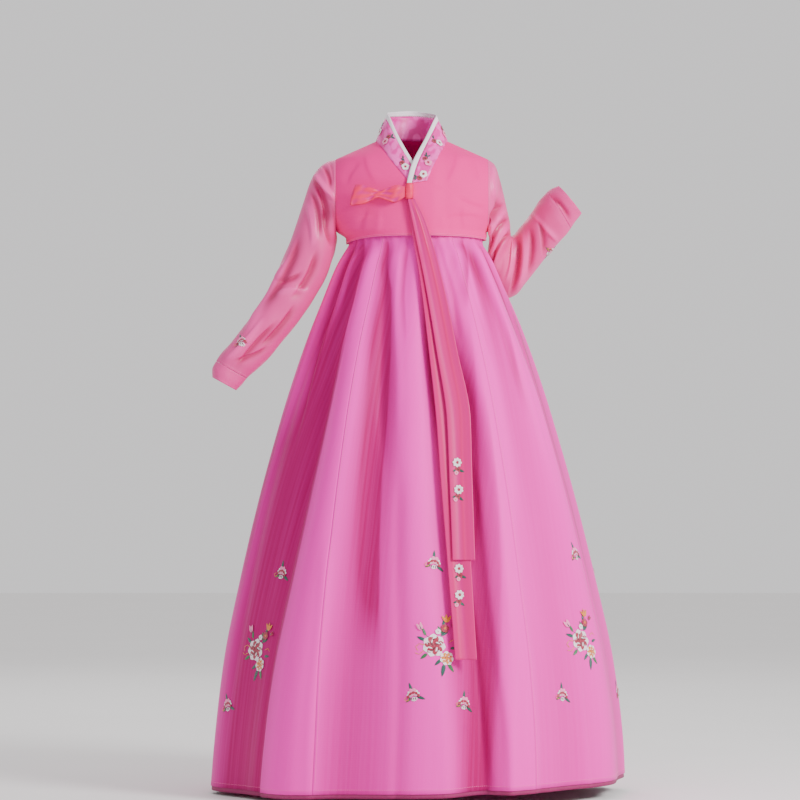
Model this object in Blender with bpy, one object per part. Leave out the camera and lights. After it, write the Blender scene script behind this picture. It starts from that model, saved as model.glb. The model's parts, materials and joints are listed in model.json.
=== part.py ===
# A worn Korean hanbok: short jacket with ribbon tie over a full, high-waisted skirt.
# Lengths in the tables are millimetres, angles are degrees. X runs to the wearer's left,
# Y to the back, Z up. The origin is at the middle of the shoulder line, where the wearer carries it.
import math

import bpy
import numpy as np

MM = 0.001
SEAM_GAP = 0.3 * MM
COTTON_WALL = 1.5 * MM
SATIN_WALL = 1.4 * MM
ORGANZA_WALL = 1.4 * MM
COLLAR_WALL = 2.0 * MM
EDGE_WALL = 1.2 * MM
RIBBON_WALL = 1.0 * MM
# Points this close to a seam plane, or to an armhole's plane, belong to it.
ON_SEAM = 1e-6
ON_ARMHOLE = 1e-5
SHARP_EDGE = math.radians(50)

# Torso of the jacket. Every level is an ellipse: its middle moves sideways a little, front_depth and
# back_depth are how far the cloth stands from the shoulder line in front and behind.
TORSO_LEVELS = (
    # height, middle_x, front_depth, back_depth
    (-196, 1, 116, 103),
    (-172, 0, 118, 105),
    (-157, -9, 119, 107),
    (-110, -9, 121, 111),
    (-62, -9, 115, 109),
    (-25, -9, 103, 100),
    (0, -9, 88, 88),
    (20, -9, 66, 74),
    (37, -9, 44, 60),
    (46, -9, 34, 54),
)
BODY_MIDDLE_X = -9 * MM
# Cloth faces away from a line inside the body, a little lower than the cloth itself.
CORE_HEIGHT_SHARE = 0.75
CORE_DROP = 30 * MM
HEM_HALF_WIDTH = 151 * MM
ARMHOLE_HALF_SPAN = 163 * MM
ARMHOLE_TOP = -2 * MM
ARMHOLE_BOTTOM = -157 * MM
ARMHOLE_HALF_DEPTH = 68 * MM
NECK_HALF_WIDTH = 76 * MM
NECK_HEIGHT = 37 * MM
JACKET_HEM_FRONT = -172 * MM
JACKET_HEM_DROP_RIGHT = 12 * MM
JACKET_HEM_DROP_LEFT = 4 * MM
JACKET_HEM_DROP_BACK = 5 * MM
FRONT_COLUMNS = 13
FRONT_EDGE_ROWS = 5
BACK_ROWS = 15
SHOULDER_COLUMNS = 5
SIDE_SEAM_ROWS = 2
# Inside a panel the angle stops short of the side seam, which is at 90 degrees.
MOST_ANGLE = math.radians(89.5)

# The left front lies over the right one, and so does its end of the collar.
LAP_LIFT = 5 * MM
LAP_FULL_TO = 42 * MM
LAP_ENDS_AT = 76 * MM
LEFT_FRONT_EDGE_X = -9 * MM
RIGHT_FRONT_EDGE_X = 30 * MM

# Collar stations from the covered right end, over the right shoulder, round the neck to the left end.
COLLAR_STATIONS = (
    # seam_x, seam_z, top_x, top_y, top_z, side (front is -1, back is 1)
    (4, -83, 16, -114, -62, -1),
    (-18, -54, -7, -101, -27, -1),
    (-52, -11, -38, -74, 27, -1),
    (-78, 26, -60, -38, 74, -1),
    (-85, 37, -66, 2, 88, 1),
    (-64, 41, -46, 42, 94, 1),
    (-9, 43, -9, 60, 96, 1),
    (46, 41, 29, 42, 92, 1),
    (67, 37, 48, 2, 84, 1),
    (61, 26, 42, -38, 66, -1),
    (42, -11, 19, -76, 18, -1),
    (30, -36, 2, -104, -22, -1),
    (22, -57, -9, -117, -61, -1),
)
RIGHT_NECK_STATION = 4
LEFT_NECK_STATION = 8
COLLAR_LIFT_STATIONS = (9.0, 11.0)
NECK_MIDDLE_Y = 4 * MM
COLLAR_STEP = 0.4
ON_STATION = 1e-6
COLLAR_ROWS = 3
COLLAR_CROWN = 1.2 * MM
COLLAR_GAP = 0.5 * MM
WHITE_EDGE_WIDTH = 11 * MM

# Sleeve rings. crown is the point of the ring on the outside of the shoulder, under the one below the
# arm, in front view. middle_y and half_depth place the ring front to back, fullness adds to its size
# where the cloth is pushed into a cross fold. Each sleeve is cut in one piece from armhole to cuff. Its
# wall is modelled in two lengths that meet at the elbow, so that each length has a straight way out.
RIGHT_SLEEVE_RINGS = (
    # crown_x, crown_z, under_x, under_z, middle_y, half_depth, fullness
    (-172, -2, -172, -157, 0, 68, 0),
    (-189, -7, -171, -163, 0, 68, 0),
    (-205, -17, -170, -170, -1, 67, 1),
    (-218, -32, -170, -178, -2, 66, 0),
    (-230, -58, -172, -189, -4, 64, 0),
    (-242, -95, -175, -204, -6, 61, 1),
    (-254, -134, -181, -223, -9, 58, 2),
    (-269, -176, -189, -246, -12, 56, 0),
    (-284, -211, -199, -269, -15, 54, 0),
    (-299, -247, -213, -292, -18, 52, 1),
    (-318, -287, -229, -319, -22, 50, 2),
    (-339, -321, -247, -346, -26, 48, 0),
    (-359, -349, -268, -373, -30, 46, 1),
    (-378, -374, -291, -401, -33, 43, 0),
    (-398, -399, -315, -430, -36, 40, 1),
    (-415, -418, -341, -455, -38, 36, 2),
    (-428, -437, -363, -475, -40, 30, 0),
    (-436, -455, -374, -489, -41, 29, 1),
    (-436, -472, -385, -500, -42, 27, 0),
)
RIGHT_ELBOW_RING = 9
RIGHT_CUFF_RING = 16
LEFT_SLEEVE_RINGS = (
    (154, -2, 154, -157, 0, 68, 0),
    (167, -11, 156, -164, 5, 67, 0),
    (176, -28, 158, -170, 12, 66, 0),
    (183, -50, 158, -176, 21, 64, 0),
    (190, -78, 157, -183, 32, 61, 0),
    (197, -107, 156, -191, 44, 58, 1),
    (202, -130, 155, -202, 56, 55, 3),
    (205, -147, 156, -217, 68, 52, -1),
    (206, -156, 160, -238, 80, 50, 3),
    (207, -160, 168, -262, 90, 49, -1),
    (208, -161, 179, -283, 97, 49, 2),
    (211, -160, 198, -297, 100, 49, 0),
    (216, -156, 219, -289, 97, 48, 1),
    (224, -146, 239, -264, 90, 46, 2),
    (234, -133, 260, -237, 80, 45, 0),
    (245, -120, 279, -213, 69, 43, 1),
    (255, -106, 295, -194, 58, 41, 0),
    (264, -92, 310, -178, 47, 39, 1),
    (274, -80, 324, -163, 36, 37, 1),
    (283, -70, 334, -149, 27, 34, 0),
    (294, -63, 345, -133, 18, 31, 1),
    (307, -58, 357, -118, 9, 28, 0),
)
LEFT_ELBOW_RING = 10
LEFT_CUFF_RING = 19
SLEEVE_COLUMNS = 18
SLEEVE_FOLDS_AROUND = 3
SLEEVE_FOLD_DEPTH = 2.4 * MM
SLEEVE_FOLD_TURN_PER_RING = 11
SLEEVE_FOLD_START_RING = 3

# Skirt. Each level is an ellipse that carries the folds; left and right are the sides in front view.
SKIRT_LEVELS = (
    # height, right_side_x, left_side_x, front_depth, back_depth
    (-146, -140, 141, 109, 95),
    (-182, -143, 143, 111, 98),
    (-205, -153, 156, 117, 105),
    (-238, -170, 172, 127, 116),
    (-305, -197, 201, 148, 140),
    (-391, -230, 235, 175, 171),
    (-477, -258, 265, 201, 199),
    (-563, -284, 292, 226, 225),
    (-735, -331, 341, 269, 271),
    (-907, -371, 383, 306, 310),
    (-1079, -405, 420, 335, 341),
    (-1251, -425, 441, 356, 363),
    (-1350, -433, 446, 364, 371),
)
SKIRT_TOP = -148 * MM
SKIRT_HEM = -1334 * MM
HEM_RISE_TO_LEFT = 11 * MM
SKIRT_ROWS = (0, 0.026, 0.05, 0.085, 0.145, 0.23, 0.35, 0.51, 0.68, 0.84, 1)
COLUMN_DEGREES = 2.5

# Large folds round the skirt, angle 0 in front and 90 on the wearer's left. A crest stands out,
# a valley lies in, and both move and deepen on the way down.
SKIRT_FOLDS = (
    # top_angle, mid_angle, hem_angle, top_relief, mid_relief, hem_relief
    (-86, -84, -86, 2, 8, 8),
    (-58, -50, -62, -3, -20, -24),
    (-31, -32, -37, 3, 20, 20),
    (-21, -17, -22, -3, -15, -15),
    (-8, -3, 6, 3, 13, 14),
    (10, 18, 17, -3, -24, -26),
    (30, 30, 26, 3, 16, 16),
    (43, 46, 45, -2, -4, -5),
    (61, 64, 63, 3, 8, 9),
    (80, 80, 82, -2, -7, -9),
    (97, 99, 100, 2, 6, 11),
    (115, 116, 117, -3, -14, -17),
    (131, 132, 134, 3, 13, 18),
    (149, 151, 152, -3, -15, -18),
    (166, 167, 165, 3, 11, 15),
    (180, 183, 184, -3, -17, -21),
    (197, 199, 201, 3, 14, 17),
    (214, 212, 213, -2, -12, -16),
    (230, 229, 227, 3, 14, 19),
    (244, 246, 244, -3, -13, -16),
    (258, 260, 259, 2, 9, 12),
    (266, 268, 266, -1, -4, -3),
)
FOLD_START = -165 * MM
FOLD_FULL = -215 * MM
FOLD_TOP_HEIGHT = -176 * MM
FOLD_MID_HEIGHT = -560 * MM
SMALL_FOLDS = 18
SMALL_FOLD_DEPTH = 4.5 * MM
SMALL_FOLD_UNEVENNESS = 0.9
SMALL_FOLD_START = -172 * MM
SMALL_FOLD_PEAK = -225 * MM
SMALL_FOLD_END = -520 * MM
PLEATS = 36
PLEAT_DEPTH = 1.6 * MM
PLEAT_END = -215 * MM
# The bent left arm rests beside the skirt and presses it in a little.
ELBOW_DENT_ANGLE = 128
ELBOW_DENT_HALF_ANGLE = 40
ELBOW_DENT_HEIGHT = -262 * MM
ELBOW_DENT_HALF_HEIGHT = 110 * MM
ELBOW_DENT_DEPTH = 20 * MM

SKIRT_PANELS = (
    # node, first_angle, last_angle
    ("skirt_panel_front", -30.0, 32.5),
    ("skirt_panel_front_left", 32.5, 95.0),
    ("skirt_panel_back_left", 95.0, 155.0),
    ("skirt_panel_back", 155.0, 215.0),
    ("skirt_panel_back_right", 215.0, 270.0),
    ("skirt_panel_front_right", 270.0, 330.0),
)
UNDER_LAYER_TOP = 60 * MM
UNDER_LAYER_BELOW_HEM = 9 * MM
UNDER_LAYER_GAP = 0.8 * MM

CHEST_BAND_TOP = -88 * MM
CHEST_BAND_MIDDLE = -128 * MM
CHEST_BAND_CLEARANCE = 1.0 * MM
CHEST_BAND_COLUMNS = 48

# Ribbon tie. Tails are given by their two edges in front view.
FRONT_TAIL = (
    # height, right_edge_x, left_edge_x
    (-96.4, -18, -3),
    (-150, -7, 22),
    (-269, 17, 55),
    (-420, 42, 86),
    (-563, 63, 113),
    (-690, 68, 116),
    (-856, 74, 121),
)
REAR_TAIL = (
    (-97, -20, -6),
    (-150, -12, 14),
    (-269, 8, 44),
    (-420, 26, 74),
    (-563, 41, 93),
    (-690, 50, 102),
    (-856, 63, 112),
    (-1060, 79, 124),
)
TAIL_LIFT_FRONT = 7.5 * MM
TAIL_LIFT_REAR = 3.5 * MM
TAIL_COLUMNS = 4
TAIL_ROWS = 22
TAIL_CURL = 1.6 * MM
TAIL_CURL_START = -150 * MM
TAIL_CURL_FULL = -400 * MM
# How far the folds under the tails stand out, and how steeply a tail leaves the jacket hem.
TAIL_CREST_ROOM = 12 * MM
TAIL_JACKET_END = -165 * MM
TAIL_SKIRT_START = -235 * MM
KNOT_CENTRE = (-15 * MM, -79 * MM)
KNOT_HALF_WIDTH = 9 * MM
KNOT_HALF_HEIGHT = 17 * MM
KNOT_DEPTH = 15 * MM
# The knot sinks past the edge of the left front until its round side meets that edge.
KNOT_SINK = 1.35 * MM
KNOT_LEAN = 1 * MM
KNOT_LEVELS = (
    # height, size, both as shares of the knot's half height and half width
    (-1.0, 0.62),
    (-0.72, 0.92),
    (-0.25, 1.0),
    (0.25, 1.0),
    (0.72, 0.9),
    (1.0, 0.6),
)
KNOT_COLUMNS = 14
KNOT_CORE_SHARE = 0.35
LOOP_SECTIONS = (
    # distance from the knot, top_z, bottom_z, half_opening
    (0, -70, -92, 3.5),
    (20, -67, -102, 6.0),
    (40, -72, -97, 4.5),
    (56, -79, -94, 3.2),
    (76, -73, -101, 5.5),
    (98, -67, -108, 7.0),
    (112, -66, -110, 4.0),
)
LOOP_TURN_STEPS = 3
LOOP_COLUMNS = (0, 0.33, 0.67, 1)
LOOP_RETURN_DROP = 1 * MM
LOOP_MIDDLE = 60 * MM

COLOURS = {
    "crepe": (0.93, 0.16, 0.42, 1.0),
    "satin": (0.85, 0.24, 0.45, 1.0),
    "organza": (0.95, 0.30, 0.60, 1.0),
    "under": (0.60, 0.12, 0.30, 1.0),
    "brocade": (0.84, 0.26, 0.48, 1.0),
    "white": (0.86, 0.80, 0.86, 1.0),
    "ribbon": (0.92, 0.07, 0.19, 1.0),
    "band": (0.80, 0.30, 0.50, 1.0),
}
ROUGHNESS = {"satin": 0.35, "ribbon": 0.4, "brocade": 0.4}


def remove_everything():
    for obj in list(bpy.data.objects):
        bpy.data.objects.remove(obj, do_unlink=True)


def cloth_material(node, cloth):
    material = bpy.data.materials.new(node)
    material.use_nodes = True
    shader = material.node_tree.nodes["Principled BSDF"]
    shader.inputs["Base Color"].default_value = COLOURS[cloth]
    shader.inputs["Roughness"].default_value = ROUGHNESS.get(cloth, 0.7)
    shader.inputs["Metallic"].default_value = 0.0
    return material


def cell_triangles(rows, columns, closed, first):
    """Both triangles of every cell of a grid of points, whose columns may run all round."""
    triangles = []
    for r in range(rows - 1):
        for c in range(columns if closed else columns - 1):
            d = (c + 1) % columns
            a, b = first + r * columns + c, first + r * columns + d
            e, f = a + columns, b + columns
            triangles += [(a, b, f), (a, f, e)]
    return triangles


def border(rows, columns, closed):
    """Loops of grid places along the open edges, each walked in one direction."""
    if closed:
        low = [c for c in range(columns)] + [0]
        high = [(rows - 1) * columns + c for c in range(columns)] + [(rows - 1) * columns]
        return [low, high[::-1]]
    loop = [c for c in range(columns)]
    loop += [r * columns + columns - 1 for r in range(1, rows)]
    loop += [(rows - 1) * columns + c for c in range(columns - 2, -1, -1)]
    loop += [r * columns for r in range(rows - 2, -1, -1)]
    return [loop]


def signed_volume(points, triangles):
    corners = points[np.array(triangles)]
    return np.einsum("ij,ij->i", corners[:, 0], np.cross(corners[:, 1], corners[:, 2])).sum() / 6


def add_wall(node, cloth, outer, inner, closed=False):
    """One closed body between an outer and an inner grid of points, shape (rows, columns, 3)."""
    rows, columns = outer.shape[:2]
    count = rows * columns
    points = np.concatenate([outer.reshape(-1, 3), inner.reshape(-1, 3)])
    triangles = cell_triangles(rows, columns, closed, 0)
    triangles += [t[::-1] for t in cell_triangles(rows, columns, closed, count)]
    for loop in border(rows, columns, closed):
        for a, b in zip(loop[:-1], loop[1:]):
            triangles += [(b, a, a + count), (b, a + count, b + count)]
    if signed_volume(points, triangles) < 0:
        triangles = [t[::-1] for t in triangles]
    mesh = bpy.data.meshes.new(node)
    mesh.from_pydata(points.tolist(), [], triangles)
    mesh.shade_smooth()
    mesh.set_sharp_from_angle(angle=SHARP_EDGE)
    mesh.materials.append(cloth_material(node, cloth))
    obj = bpy.data.objects.new(node, mesh)
    bpy.context.scene.collection.objects.link(obj)
    return obj


def column(table, index):
    return np.array([row[index] for row in table], dtype=float) * MM


def along(table, index, height):
    """A column of a table whose first column is a falling or rising height, read at any height."""
    heights, values = column(table, 0), column(table, index)
    order = np.argsort(heights)
    return smooth_read(heights[order], values[order], height)


def smooth_read(places, values, at):
    """A curve through the values with a matching slope at each, no steeper than its neighbours."""
    at = np.clip(at, places[0], places[-1])
    steps = np.diff(places)
    rise = np.diff(values) / steps
    slope = np.zeros(len(values))
    same = rise[:-1] * rise[1:] > 0
    slope[1:-1][same] = 2 * rise[:-1][same] * rise[1:][same] / (rise[:-1] + rise[1:])[same]
    slope[0], slope[-1] = rise[0], rise[-1]
    i = np.clip(np.searchsorted(places, at, side="right") - 1, 0, len(steps) - 1)
    h = steps[i]
    t = (at - places[i]) / h
    return (
        values[i] * (1 + 2 * t) * (1 - t) ** 2
        + values[i + 1] * t * t * (3 - 2 * t)
        + h * slope[i] * t * (1 - t) ** 2
        - h * slope[i + 1] * t * t * (1 - t)
    )


def ease(value, low, high):
    t = np.clip((value - low) / (high - low), 0, 1)
    return t * t * (3 - 2 * t)


def grid_normals(points, closed=False):
    """Outward direction at each point of a grid, from its neighbours."""
    if closed:
        across = np.roll(points, -1, axis=1) - np.roll(points, 1, axis=1)
    else:
        across = np.gradient(points, axis=1)
    down = np.gradient(points, axis=0)
    normal = np.cross(across, down)
    length = np.linalg.norm(normal, axis=-1, keepdims=True)
    return normal / np.maximum(length, 1e-12)


def facing(normals, points, centre):
    """The same directions, turned to point away from a centre."""
    outward = np.einsum("rci,rci->rc", normals, points - centre)
    return normals * np.where(outward < 0, -1, 1)[..., None]


def unit(vectors):
    return vectors / np.maximum(np.linalg.norm(vectors, axis=-1, keepdims=True), 1e-12)


def armhole_depth(z):
    middle = (ARMHOLE_TOP + ARMHOLE_BOTTOM) / 2
    half_height = (ARMHOLE_TOP - ARMHOLE_BOTTOM) / 2
    return ARMHOLE_HALF_DEPTH * np.sqrt(np.clip(1 - ((z - middle) / half_height) ** 2, 0, 1))


def torso_half_width(z, depth):
    """Half width of a torso level: the side seam, then the level that the armhole cuts, then the
    shoulder, which narrows to the neck."""
    side_seam = (JACKET_HEM_FRONT, ARMHOLE_BOTTOM), (HEM_HALF_WIDTH, ARMHOLE_HALF_SPAN)
    armpit = np.interp(z, *side_seam)
    cut = ARMHOLE_HALF_SPAN / np.sqrt(1 - (armhole_depth(z) / depth) ** 2)
    climb = (z - ARMHOLE_TOP) / (NECK_HEIGHT - ARMHOLE_TOP)
    shoulder = ARMHOLE_HALF_SPAN + (NECK_HALF_WIDTH - ARMHOLE_HALF_SPAN) * climb
    return np.where(z < ARMHOLE_BOTTOM, armpit, np.where(z < ARMHOLE_TOP, cut, shoulder))


def torso_depth(z, side):
    return along(TORSO_LEVELS, 2 if side < 0 else 3, z)


def lap_lift(x_from_middle):
    return LAP_LIFT * (1 - ease(x_from_middle, LAP_FULL_TO, LAP_ENDS_AT))


def torso_point(angle, z, side, lapped=False):
    """A point of the jacket's body. angle is from the middle to the wearer's left, in radians."""
    depth = torso_depth(z, side)
    x = torso_half_width(z, depth) * np.sin(angle)
    y = side * depth * np.cos(angle)
    if lapped:
        y = y - lap_lift(x)
    return np.stack([along(TORSO_LEVELS, 1, z) + x, y, z], axis=-1)


def torso_angle(x, z, side):
    """The angle at which a level of the torso passes x."""
    ratio = (x - along(TORSO_LEVELS, 1, z)) / torso_half_width(z, torso_depth(z, side))
    return np.arcsin(np.clip(ratio, -1, 1))


def jacket_hem(angle, side):
    around = np.sin(angle)
    drop = np.where(around < 0, JACKET_HEM_DROP_RIGHT, JACKET_HEM_DROP_LEFT) * around**4
    back = JACKET_HEM_DROP_BACK * np.cos(angle) ** 2 if side > 0 else 0
    return JACKET_HEM_FRONT - drop - back


def station_curve(index, at):
    """A column of the collar stations, read as a smooth curve at any fraction of a station."""
    values = np.array([row[index] for row in COLLAR_STATIONS], dtype=float) * MM
    i = np.clip(np.floor(at).astype(int), 0, len(values) - 2)
    t = at - i
    before, after = np.maximum(i - 1, 0), np.minimum(i + 2, len(values) - 1)
    p0, p1, p2, p3 = values[before], values[i], values[i + 1], values[after]
    return 0.5 * (
        2 * p1
        + (p2 - p0) * t
        + (2 * p0 - 5 * p1 + 4 * p2 - p3) * t**2
        + (3 * p1 - p0 - 3 * p2 + p3) * t**3
    )


def neck_seam(at):
    """Neck seam as angle and height on the torso, and whether it is in front or behind."""
    x, z = station_curve(0, at), station_curve(1, at)
    behind = (at > RIGHT_NECK_STATION) & (at < LEFT_NECK_STATION)
    z = np.where(behind, np.maximum(z, NECK_HEIGHT), np.minimum(z, NECK_HEIGHT))
    angle = np.where(behind, torso_angle(x, z, 1), torso_angle(x, z, -1))
    angle = np.where(np.abs(at - RIGHT_NECK_STATION) < ON_STATION, -math.pi / 2, angle)
    angle = np.where(np.abs(at - LEFT_NECK_STATION) < ON_STATION, math.pi / 2, angle)
    return angle, z, behind


def patch(bottom, top, left, right):
    """Blend of four border curves, each an array of (angle, height), into a grid between them."""
    s = np.linspace(0, 1, len(bottom))[None, :, None]
    t = np.linspace(0, 1, len(left))[:, None, None]
    corners = (
        (1 - s) * (1 - t) * bottom[0] + s * (1 - t) * bottom[-1] + (1 - s) * t * top[0] + s * t * top[-1]
    )
    return (1 - t) * bottom[None] + t * top[None] + (1 - s) * left[:, None] + s * right[:, None] - corners


def armhole_border(rows, side, sign, seam_rows):
    """Side seam and armhole edge from the hem to the shoulder tip, as angle and height."""
    start = jacket_hem(np.array(sign * math.pi / 2), side)
    seam = np.linspace(start, ARMHOLE_BOTTOM, seam_rows + 1)
    turn = np.linspace(0, math.pi, rows - seam_rows)[1:]
    edge = ARMHOLE_BOTTOM + (ARMHOLE_TOP - ARMHOLE_BOTTOM) * (1 - np.cos(turn)) / 2
    z = np.concatenate([seam, edge])
    depth = torso_depth(z, side)
    inside = np.clip(armhole_depth(z) / depth, 0, 1)
    return np.stack([sign * np.arccos(np.where(z <= ARMHOLE_BOTTOM, 0, inside)), z], axis=-1)


def shoulder_border(columns, sign):
    z = np.linspace(NECK_HEIGHT, ARMHOLE_TOP, columns)
    return np.stack([np.full(columns, sign * math.pi / 2), z], axis=-1)


def front_border(rows, edge_x, first_station, last_station, low_rows):
    """Edge of a front from the hem up to the collar, then along the neck seam to the neck point."""
    stations = np.linspace(first_station, last_station, rows - low_rows)
    angle, z, _ = neck_seam(stations)
    bottom = JACKET_HEM_FRONT
    low_z = np.linspace(bottom, z[0], low_rows + 1)[:-1]
    reach = np.linspace(0, 1, low_rows + 1)[:-1]
    x_top = station_curve(0, np.array([float(first_station)]))[0]
    low_x = edge_x + (x_top - edge_x) * (0 if edge_x < x_top else reach**2)
    low = np.stack([torso_angle(low_x + 0 * low_z, low_z, -1), low_z], axis=-1)
    return np.concatenate([low, np.stack([angle, z], axis=-1)])


def body_wall(angle_height, side, lapped):
    """Points of a panel of the jacket and the directions out of the cloth."""
    points = torso_point(angle_height[..., 0], angle_height[..., 1], side, lapped)
    core = points * np.array([0, 0, CORE_HEIGHT_SHARE]) + np.array([BODY_MIDDLE_X, 0, -CORE_DROP])
    return points, facing(grid_normals(points), points, core)


def finish_body(node, points, normals):
    """Keeps border normals in their seam planes, opens the seam gaps and adds the wall."""
    across_y = np.abs(points[..., 1]) < ON_SEAM
    normals[..., 1] = np.where(across_y, 0, normals[..., 1])
    sideways = points[..., 0] - BODY_MIDDLE_X
    at_span = np.abs(np.abs(sideways) - ARMHOLE_HALF_SPAN) < ON_ARMHOLE
    at_armhole = at_span & (points[..., 2] > ARMHOLE_BOTTOM + ON_SEAM)
    outwards = np.sign(sideways) * normals[..., 0]
    normals[..., 0] = np.where(at_armhole & (outwards < 0), 0, normals[..., 0])
    normals = unit(normals)
    gap = SEAM_GAP / 2
    side = np.sign(points[points.shape[0] // 2, points.shape[1] // 2, 1])
    points[..., 1] += np.where(across_y, side * gap, 0)
    points[..., 0] -= np.where(at_span, np.sign(sideways) * gap, 0)
    add_wall(node, "crepe", points, points - normals * COTTON_WALL)


def open_neck(points, rows_slice, columns_slice, inside):
    """Draws the neck edge of a panel back by half the seam gap."""
    edge = points[rows_slice, columns_slice]
    points[rows_slice, columns_slice] = edge + unit(inside - edge) * SEAM_GAP / 2


def jacket_front(node, sign, edge_x, first_station, last_station, lapped):
    rows = FRONT_EDGE_ROWS + round(abs(last_station - first_station) / COLLAR_STEP) + 1
    left = front_border(rows, edge_x, first_station, last_station, FRONT_EDGE_ROWS)
    right = armhole_border(rows, -1, sign, SIDE_SEAM_ROWS)
    top = shoulder_border(FRONT_COLUMNS, sign)
    hem_angle = np.linspace(left[0, 0], right[0, 0], FRONT_COLUMNS)
    bottom = np.stack([hem_angle, jacket_hem(hem_angle, -1)], axis=-1)
    left[0, 1], right[0, 1] = bottom[0, 1], bottom[-1, 1]
    left[-1] = top[0]
    grid = patch(bottom, top, left, right)
    grid[1:-1, 1:-1, 0] = np.clip(grid[1:-1, 1:-1, 0], -MOST_ANGLE, MOST_ANGLE)
    points, normals = body_wall(grid, -1, lapped)
    neck_rows = slice(FRONT_EDGE_ROWS, rows - 1)
    open_neck(points, neck_rows, 0, points[neck_rows, 1])
    finish_body(node, points, normals)


def jacket_back():
    neck_columns = round((LEFT_NECK_STATION - RIGHT_NECK_STATION) / COLLAR_STEP)
    left = armhole_border(BACK_ROWS, 1, -1, SIDE_SEAM_ROWS)
    right = armhole_border(BACK_ROWS, 1, 1, SIDE_SEAM_ROWS)
    stations = np.linspace(RIGHT_NECK_STATION, LEFT_NECK_STATION, neck_columns + 1)
    angle, z, _ = neck_seam(stations)
    neck = np.stack([angle, z], axis=-1)
    ridge = shoulder_border(SHOULDER_COLUMNS + 1, -1)[::-1]
    top = np.concatenate([ridge[:-1], neck, shoulder_border(SHOULDER_COLUMNS + 1, 1)[1:]])
    hem_angle = np.linspace(-math.pi / 2, math.pi / 2, len(top))
    bottom = np.stack([hem_angle, jacket_hem(hem_angle, 1)], axis=-1)
    left[0], right[0] = bottom[0], bottom[-1]
    grid = patch(bottom, top, left, right)
    grid[1:-1, 1:-1, 0] = np.clip(grid[1:-1, 1:-1, 0], -MOST_ANGLE, MOST_ANGLE)
    points, normals = body_wall(grid, 1, False)
    middle = slice(SHOULDER_COLUMNS + 1, SHOULDER_COLUMNS + neck_columns)
    open_neck(points, -1, middle, points[-2, middle])
    finish_body("jacket_back", points, normals)


def collar_edges(count):
    """Seam edge and top edge of the collar band, a point pair for each of count places."""
    at = np.linspace(0, len(COLLAR_STATIONS) - 1, count)
    angle, z, behind = neck_seam(at)
    left_end = at > LEFT_NECK_STATION
    front = torso_point(angle, z, -1)
    front[:, 1] -= np.where(left_end, lap_lift(front[:, 0] - BODY_MIDDLE_X), 0)
    seam = np.where(behind[:, None], torso_point(angle, z, 1), front)
    top = np.stack([station_curve(i, at) for i in (2, 3, 4)], axis=-1)
    lift = np.where(left_end, LAP_LIFT * ease(at, *COLLAR_LIFT_STATIONS), 0)
    top[:, 1] -= lift
    return seam, top


def collar():
    count = round((len(COLLAR_STATIONS) - 1) / COLLAR_STEP) + 1
    seam, top = collar_edges(count)
    share = np.linspace(0, 1, COLLAR_ROWS)
    seam = seam + unit(top - seam) * COLLAR_GAP / 2
    points = np.stack([seam + (top - seam) * f for f in share])
    neck_axis = points[0] * np.array([0, 0, 1]) + np.array([BODY_MIDDLE_X, NECK_MIDDLE_Y, 0])
    normals = facing(grid_normals(points), points, neck_axis[None])
    points = points + normals * (COLLAR_CROWN * np.sin(share * math.pi))[:, None, None]
    add_wall("collar_band", "brocade", points, points - normals * COLLAR_WALL)
    direction = unit(points[-1] - points[-2])
    start = points[-1] + direction * COLLAR_GAP
    high = start + direction * WHITE_EDGE_WIDTH
    strip = np.stack([start, (start + high) / 2, high])
    strip_normals = np.stack([normals[-1]] * 3)
    add_wall("collar_white_edge", "white", strip, strip - strip_normals * EDGE_WALL)


def sleeve_rings(table):
    """Outer and inner points of every ring, and the direction across each ring's plane."""
    outer, inner, axes = [], [], []
    turns = np.linspace(0, 2 * math.pi, SLEEVE_COLUMNS, endpoint=False)
    for ring, row in enumerate(table):
        crown_x, crown_z, under_x, under_z, middle_y, half_depth, fullness = (v * MM for v in row)
        crown, under = np.array([crown_x, 0, crown_z]), np.array([under_x, 0, under_z])
        centre = (crown + under) / 2 + np.array([0, middle_y, 0])
        long_way = (crown - under) / 2
        half = np.linalg.norm(long_way)
        long_way = long_way / half
        deep_way = np.array([0, 1.0, 0])
        started = ease(float(ring), 0, SLEEVE_FOLD_START_RING)
        wave = np.cos(SLEEVE_FOLDS_AROUND * turns + math.radians(SLEEVE_FOLD_TURN_PER_RING * ring))
        pinched = fullness + SLEEVE_FOLD_DEPTH * wave * started
        relief = pinched * np.abs(np.sin(turns))
        across = np.cos(turns)[:, None] * long_way + np.sin(turns)[:, None] * deep_way
        ring_points = (
            centre
            + (half * np.cos(turns))[:, None] * long_way
            + (half_depth * np.sin(turns))[:, None] * deep_way
            + relief[:, None] * across
        )
        along_ring = np.roll(ring_points, -1, axis=0) - np.roll(ring_points, 1, axis=0)
        axis = unit(np.cross(long_way, deep_way))
        normal = unit(np.cross(along_ring, axis))
        normal *= np.sign(np.einsum("ci,ci->c", normal, ring_points - centre))[:, None]
        outer.append(ring_points)
        inner.append(ring_points - normal * SATIN_WALL)
        axes.append(axis)
    return np.array(outer), np.array(inner), np.array(axes)


def sleeve_length(node, cloth, rings, first, last, start_open, end_open):
    """One length of a sleeve between two rings, drawn back by half the gap where it meets cloth."""
    outer, inner, axes = rings
    outer, inner = outer[first : last + 1].copy(), inner[first : last + 1].copy()
    for place, neighbour, meets in ((0, 1, start_open), (-1, -2, end_open)):
        axis = axes[first if place == 0 else last]
        inwards = np.sign(np.dot((outer[neighbour] - outer[place]).mean(axis=0), axis))
        shift = axis * inwards * SEAM_GAP / 2 * meets
        outer[place] += shift
        inner[place] += shift
    add_wall(node, cloth, outer, inner, closed=True)


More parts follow.
